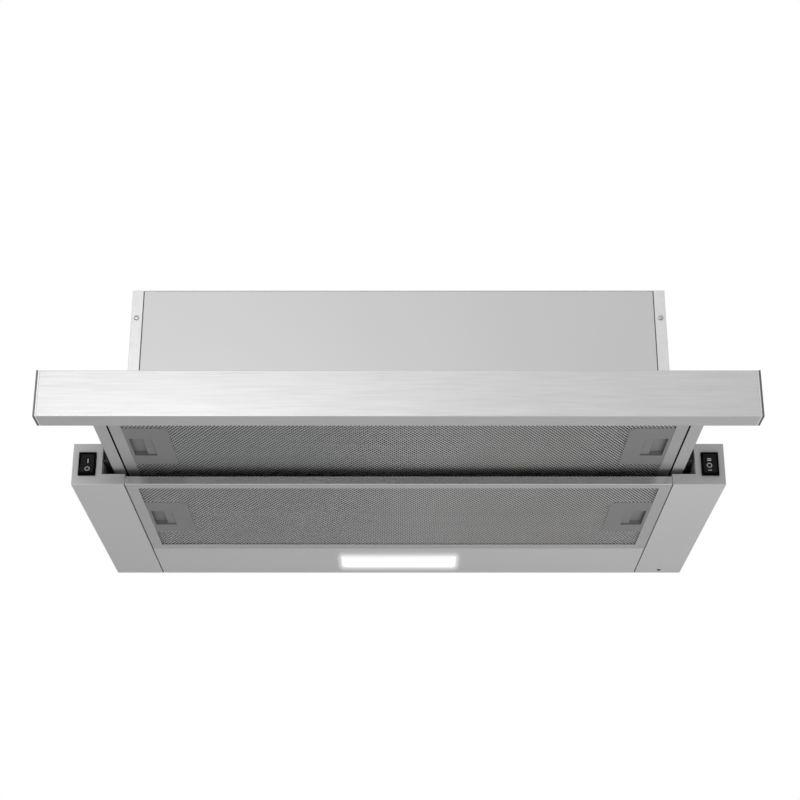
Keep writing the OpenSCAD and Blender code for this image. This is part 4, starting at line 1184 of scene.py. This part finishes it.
put_on_points = place_tree()
for node in ("casing_screws", "drawer_screws"):
    places = screw_places(node)
    for length, way in sorted({(shank, tuple(facing)) for seat, facing, shank in places}):
        seats = [seat for seat, facing, shank in places if shank == length and tuple(facing) == way]
        turn = Vector(way).to_track_quat("Z", "Y").to_euler()
        one = screw(length)
        one.data.transform(Matrix.Scale(SCREW_SIZES.get(way, 1), 4))
        name = f"{node}_{round(length / MM * 10)}{SCREW_NAMES.get(way, '')}"
        obj = run_tree(put_on_points, name, point_mesh(seats, [turn] * len(seats)), {
            "Instance": one, "Material": slide_steel if way[2] < 0 else screw_steel})
        bpy.data.objects.remove(one)
        stand_for(obj, node)
        print(obj.name, len(seats), "screws")

# %% [markdown]
# ## Charcoal filters
# The two round filters sit over the inlets of the blower. Each is a drum of black plastic with a
# tube in its middle. The open face has a sloping outer zone of fine rings, a raised double ring and
# a field of thin rings crossed by bars of two lengths. Rings and drum are turned like the screws,
# and the bars follow the same height line. Behind them lies the granule bed: Geometry Nodes scatter
# a few thousand small lumps over it, each with its own turn and size from a fixed seed.

# %% Shapes of a charcoal filter
TUBE_OUT, TUBE_IN, BORE, RIM_DEPTH = 26.6 * MM, 25 * MM, 22 * MM, 3 * MM
TUBE_FALL, BORE_FALL = 0.6 * MM, 0.4 * MM
CASE_WALL, EDGE_FALL, LIP = 1.6 * MM, 1.2 * MM, 4 * MM
DRUM_TOP, CROWN, VALLEY, HILL = 18.5 * MM, 23 * MM, 20.5 * MM, 25.5 * MM
CROWN_SHARE, FIELD_SHARE, SLOPE_SHARES = 0.8, 0.76, (0.845, 0.88, 0.915)
CROWN_GAP_SHARE, CROWN_RING_SCALES, BACK_RING_SCALE = 0.03, (1.5, 1.7), 1.3
LONG_BAR_SHARES, SHORT_BAR_SHARES = (0.27, 0.5, FIELD_SHARE), (0.52, 0.62, FIELD_SHARE)
RING_SIZE = Vector((0.9, 1.5)) * MM
FIELD_START, FIELD_END_SHARE, FIELD_RINGS = 3 * MM, FIELD_SHARE - 0.02, 10
BACK_MARGIN, BACK_RINGS, BACK_DEPTH = 8 * MM, 6, 1.6 * MM
BAR_WIDTH, BAR_ROOT, BAR_TURN_SHARE = 1.1 * MM, 0.5 * MM, 0.9
BED_START, BED_END, BED_STEPS = 0.6 * MM, 5 * MM, 8
BED_UNDER, BED_BACK = 2.6 * MM, 3.4 * MM
NOTCH_WIDTH, NOTCHES, FIRST_NOTCH = 8.4 * MM, 3, 30
BARS = 8
DRUM_STEPS = 96


def radii(first, last, count):
    """Evenly spaced radii."""
    return [float(radius) for radius in np.linspace(first, last, count)]


def face_height(radius, rim):
    """Height of the grille at a distance from the axis."""
    return float(np.interp(radius, [TUBE_OUT, FIELD_SHARE * rim, CROWN_SHARE * rim, rim],
                           [HILL, VALLEY, CROWN, DRUM_TOP]))


def add_ring(shape, outline):
    """Adds a turned ring with a closed outline to a bmesh."""
    turned = lathe(outline + outline[:1], DRUM_STEPS)
    bmesh.ops.remove_doubles(turned, verts=turned.verts, dist=MERGE)
    move_into(shape, turned)


def square_ring(shape, radius, top, width, depth):
    """A ring of rectangular section, given by its middle radius."""
    inner, outer = radius - width / 2, radius + width / 2
    add_ring(shape, [(inner, top - depth), (outer, top - depth), (outer, top), (inner, top)])


def add_bar(shape, angle, line, tops, depth):
    """A straight bar along a line of radii that follows the given heights."""
    way = Vector((math.cos(angle), math.sin(angle), 0))
    side = Vector((-way.y, way.x, 0)) * BAR_WIDTH / 2
    rows = [[shape.verts.new(way * radius + offset + Vector((0, 0, height))) for offset, height in (
        (-side, top - depth), (side, top - depth), (side, top), (-side, top))]
        for radius, top in zip(line, tops)]
    skin(shape, rows)
    shape.faces.new(rows[0][::-1])
    shape.faces.new(rows[-1])


def charcoal_case(rim):
    """Drum, grilles and bars in one bmesh, with its axis along Z."""
    shape = bmesh.new()
    add_ring(shape, [(rim - CASE_WALL, 0), (rim, 0), (rim, DRUM_TOP - EDGE_FALL),
                     (rim - EDGE_FALL, DRUM_TOP), (rim - LIP, DRUM_TOP + MM), (rim - LIP, DRUM_TOP - MM),
                     (rim - CASE_WALL, DRUM_TOP - 2 * MM)])
    slope = [share * rim for share in SLOPE_SHARES]
    for radius in slope + radii(TUBE_OUT + FIELD_START, FIELD_END_SHARE * rim, FIELD_RINGS):
        square_ring(shape, radius, face_height(radius, rim), *RING_SIZE)
    for share in (CROWN_SHARE, CROWN_SHARE - CROWN_GAP_SHARE):
        sizes = [size * scale for size, scale in zip(RING_SIZE, CROWN_RING_SCALES)]
        square_ring(shape, share * rim, CROWN, *sizes)
    for radius in radii(TUBE_OUT + BACK_MARGIN, rim - BACK_MARGIN, BACK_RINGS):
        square_ring(shape, radius, BACK_DEPTH, RING_SIZE.x * BACK_RING_SCALE, BACK_DEPTH)
    for index in range(2 * BARS):
        angle = math.pi / BARS * index
        shares = SHORT_BAR_SHARES if index % 2 else LONG_BAR_SHARES
        lines = [[max(share * rim, TUBE_OUT - BAR_ROOT) for share in shares]]
        if index % 2 == 0:
            lines.append([CROWN_SHARE * rim, BAR_TURN_SHARE * rim, rim - MM])
        for line in lines:
            add_bar(shape, angle, line, [face_height(radius, rim) for radius in line], RING_SIZE.y)
        if index % 2 == 0:
            add_bar(shape, angle, [TUBE_IN, rim - MM], [BACK_DEPTH, BACK_DEPTH], BACK_DEPTH)
    return shape


def charcoal_tube(name, thick):
    """The tube with its inner rim, cut by three notches for the lugs of the hub."""
    shape = bmesh.new()
    add_ring(shape, [(TUBE_IN, 0), (TUBE_OUT, 0), (TUBE_OUT, thick - TUBE_FALL),
                     (TUBE_OUT - TUBE_FALL, thick), (BORE + BORE_FALL, thick), (BORE, thick - BORE_FALL),
                     (BORE, thick - RIM_DEPTH), (TUBE_IN, thick - RIM_DEPTH)])
    cutter = bmesh.new()
    for index in range(NOTCHES):
        turn = Matrix.Rotation(math.radians(360 / NOTCHES * index + FIRST_NOTCH), 4, "Z")
        place = turn @ Matrix.Translation(((BORE + TUBE_IN) / 2 - MM, 0, thick - RIM_DEPTH / 2))
        size = Matrix.Diagonal((TUBE_IN - BORE + 2 * MM, NOTCH_WIDTH, 2 * RIM_DEPTH, 1))
        bmesh.ops.create_cube(cutter, size=1, matrix=place @ size)
    return cut_out(new_piece(name, shape, charcoal_black), cutter)


def granule_bed(rim):
    """The surface of the bed under both grilles, as a mesh."""
    shape = bmesh.new()
    line = radii(TUBE_OUT + BED_START, rim - BED_END, BED_STEPS)
    top = [(radius, face_height(radius, rim) - BED_UNDER) for radius in line]
    add_ring(shape, top + [(line[-1], BED_BACK), (line[0], BED_BACK)])
    mesh = bpy.data.meshes.new("bed")
    shape.to_mesh(mesh)
    shape.free()
    return mesh


# %% Tree that scatters granules
def granule_tree():
    """Small lumps on the faces of a bed, with random turn and size."""
    tree, start = start_tree("granules", (
        ("Density", "Float", 80000.0), ("Seed", "Int", 3), ("Radius", "Float", 0.0012),
        ("Smallest", "Float", 0.6), ("Material", "Material", None)))
    points = add(tree, "GeometryNodeDistributePointsOnFaces", Mesh=start["Geometry"],
                 Density=start["Density"], Seed=start["Seed"])
    lump = add(tree, "GeometryNodeMeshIcoSphere", Subdivisions=1, Radius=start["Radius"])
    least = add(tree, "ShaderNodeCombineXYZ", **dict.fromkeys("XYZ", start["Smallest"]))
    turn, size = (add(tree, "FunctionNodeRandomValue", data_type="FLOAT_VECTOR", Min=low,
                      Max=(high, high, high), Seed=start["Seed"]).outputs["Value"]
                  for low, high in (((0, 0, 0), math.tau), (least.outputs[0], 1)))
    turned = add(tree, "FunctionNodeEulerToRotation", _0=turn)
    spread = add(tree, "GeometryNodeInstanceOnPoints", Points=points.outputs["Points"],
                 Instance=lump.outputs["Mesh"], Rotation=turned.outputs[0], Scale=size)
    whole = add(tree, "GeometryNodeJoinGeometry", _0=spread.outputs[0])
    tree.links.new(start["Geometry"], whole.inputs[0])
    return end_tree(tree, whole.outputs[0], start["Material"])


# %% Two charcoal filters
GRAIN_DENSITY, GRAIN_RADIUS, GRAIN_LEAST, GRAIN_SEED = 80000.0, 1.2 * MM, 0.6, 3

granules = granule_tree()
for side, sign in SIDES:
    node = "charcoal_filter_" + side
    lo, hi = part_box(node)
    rim, thick = (hi.y - lo.y) / 2, hi.x - lo.x
    face = lo.x if sign > 0 else hi.x
    stand = Matrix(((0, 0, sign, face), (1, 0, 0, (lo.y + hi.y) / 2), (0, 1, 0, (lo.z + hi.z) / 2),
                    (0, 0, 0, 1)))
    case = new_piece(node + "_case", charcoal_case(rim), charcoal_black)
    tube = charcoal_tube(node + "_tube", thick)
    bed = run_tree(granules, node + "_bed", granule_bed(rim), {
        "Density": GRAIN_DENSITY, "Seed": GRAIN_SEED + sign, "Radius": GRAIN_RADIUS,
        "Smallest": GRAIN_LEAST, "Material": charcoal_grains})
    for obj in (case, tube, bed):
        obj.data.transform(stand)
        if sign < 0:
            obj.data.flip_normals()
        stand_for(obj, node)
    print(node, "rim", round(rim / MM, 1), "mm,", len(bed.data.polygons), "faces of granules")

# %% [markdown]
# ## End caps, lamp and switch marks
# Each end of the fascia is closed by a plastic cap, cut in two slices: the outer slice is painted
# dark and the inner one light, with a fine groove where they meet the steel. The lamp's diffuser
# is opal plastic, lit from behind, with a raised face. The rockers carry plain marks for off, on
# and a second speed. They are printed, so they are thin shapes that follow the two slanted faces of
# each rocker.

# %% End caps
DARK_SLICE = 1.9 * MM

for side, sign in SIDES:
    node = "fascia_cap_" + side
    cap = finished(node, cap_light, fold=0.7 * MM, cut=0.2 * MM, segments=3)
    lo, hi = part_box(node)
    paint_beyond(cap, cap_grey, (hi.x if sign > 0 else lo.x) - sign * DARK_SLICE, sign)
print("caps with a dark slice of", round(DARK_SLICE / MM, 1), "mm")

# %% Diffuser with a raised face
FACE_RIM, FACE_RISE = 2.5 * MM, 1.3 * MM

copy = merged_copy("light_diffuser")
under = min(copy.faces, key=lambda face: face.calc_center_median().z)
bmesh.ops.inset_region(copy, faces=[under], thickness=FACE_RIM, depth=FACE_RISE, use_even_offset=True)
lamp = rounded("diffuser_raised", copy, diffuser_glow, fold=0.4 * MM, cut=0.3 * MM, segments=3)
stand_for(lamp, "light_diffuser")
print("diffuser", [round(x / MM, 1) for x in lamp.dimensions], "mm")

# %% Marks on the rockers
SWITCH_X, SWITCH_Y, SWITCH_Z = 285.2 * MM, -140 * MM, -20.2 * MM
ROCKER_DIP, ROCKER_SLANT = 1.5 * MM, math.radians(10)
MARK_LIFT, MARK_ROOT, MARK_SHIFT = 0.05 * MM, 0.1 * MM, 0.6 * MM
RING_RADIUS, RING_WIDTH, RING_STEPS = 2.4 * MM, 0.8 * MM, 32
LIGHT_BAR, LIGHT_BAR_Z, LIGHT_RING_Z = (0.8 * MM, 4 * MM), 2.5 * MM, -6 * MM
FAN_BAR, FAN_BAR_ZS = (3.6 * MM, 0.85 * MM), (3.1 * MM, 4.5 * MM, -6.7 * MM)
FAN_RING_RADIUS, FAN_RING_Z = 2.5 * MM, -1.6 * MM


def bar(width, height, z):
    """The outline of a bar."""
    x, low, high = width / 2, z - height / 2, z + height / 2
    return [[(-x, low), (x, low), (x, high), (-x, high)]]


def ring(radius, width, z):
    """The outlines of a ring, one for each of its steps."""
    quads = []
    for step in range(RING_STEPS):
        a, b = (2 * math.pi * (step + more) / RING_STEPS for more in (0, 1))
        quads.append([(r * math.cos(t), z + r * math.sin(t))
                      for r, t in ((radius, a), (radius, b), (radius - width, b), (radius - width, a))])
    return quads


def mark_piece(name, outlines, side, tilt, body):
    """Lays outlines on the two slanted faces of a rocker and gives them a little thickness."""
    shape = bmesh.new()
    surface = ROCKER_DIP / math.cos(ROCKER_SLANT)
    for outline in outlines:
        front, back = [], []
        for x, z in outline:
            y = -surface - abs(z) * math.tan(ROCKER_SLANT)
            front.append(shape.verts.new((x, y - MARK_LIFT, z)))
            back.append(shape.verts.new((x, y + MARK_ROOT, z)))
        shape.faces.new(front)
        for index in range(len(outline)):
            after = (index + 1) % len(outline)
            shape.faces.new((front[after], front[index], back[index], back[after]))
    bmesh.ops.remove_doubles(shape, verts=shape.verts, dist=MERGE)
    place = Matrix.Translation((side * (SWITCH_X - MARK_SHIFT), SWITCH_Y, SWITCH_Z))
    bmesh.ops.transform(shape, matrix=place @ Matrix.Rotation(tilt, 4, "X"), verts=shape.verts)
    obj = new_piece(name, shape, mark_white)
    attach(obj, body)
    return obj


light_marks = bar(*LIGHT_BAR, LIGHT_BAR_Z) + ring(RING_RADIUS, RING_WIDTH, LIGHT_RING_Z)
mark_piece("light_marks", light_marks, -1, -ROCKER_SLANT, "light_button")
fan_marks = ring(FAN_RING_RADIUS, RING_WIDTH, FAN_RING_Z)
for z in FAN_BAR_ZS:
    fan_marks += bar(*FAN_BAR, z)
mark_piece("fan_marks", fan_marks, 1, 0, "fan_button")
print(len(light_marks) + len(fan_marks), "outlines in the marks")
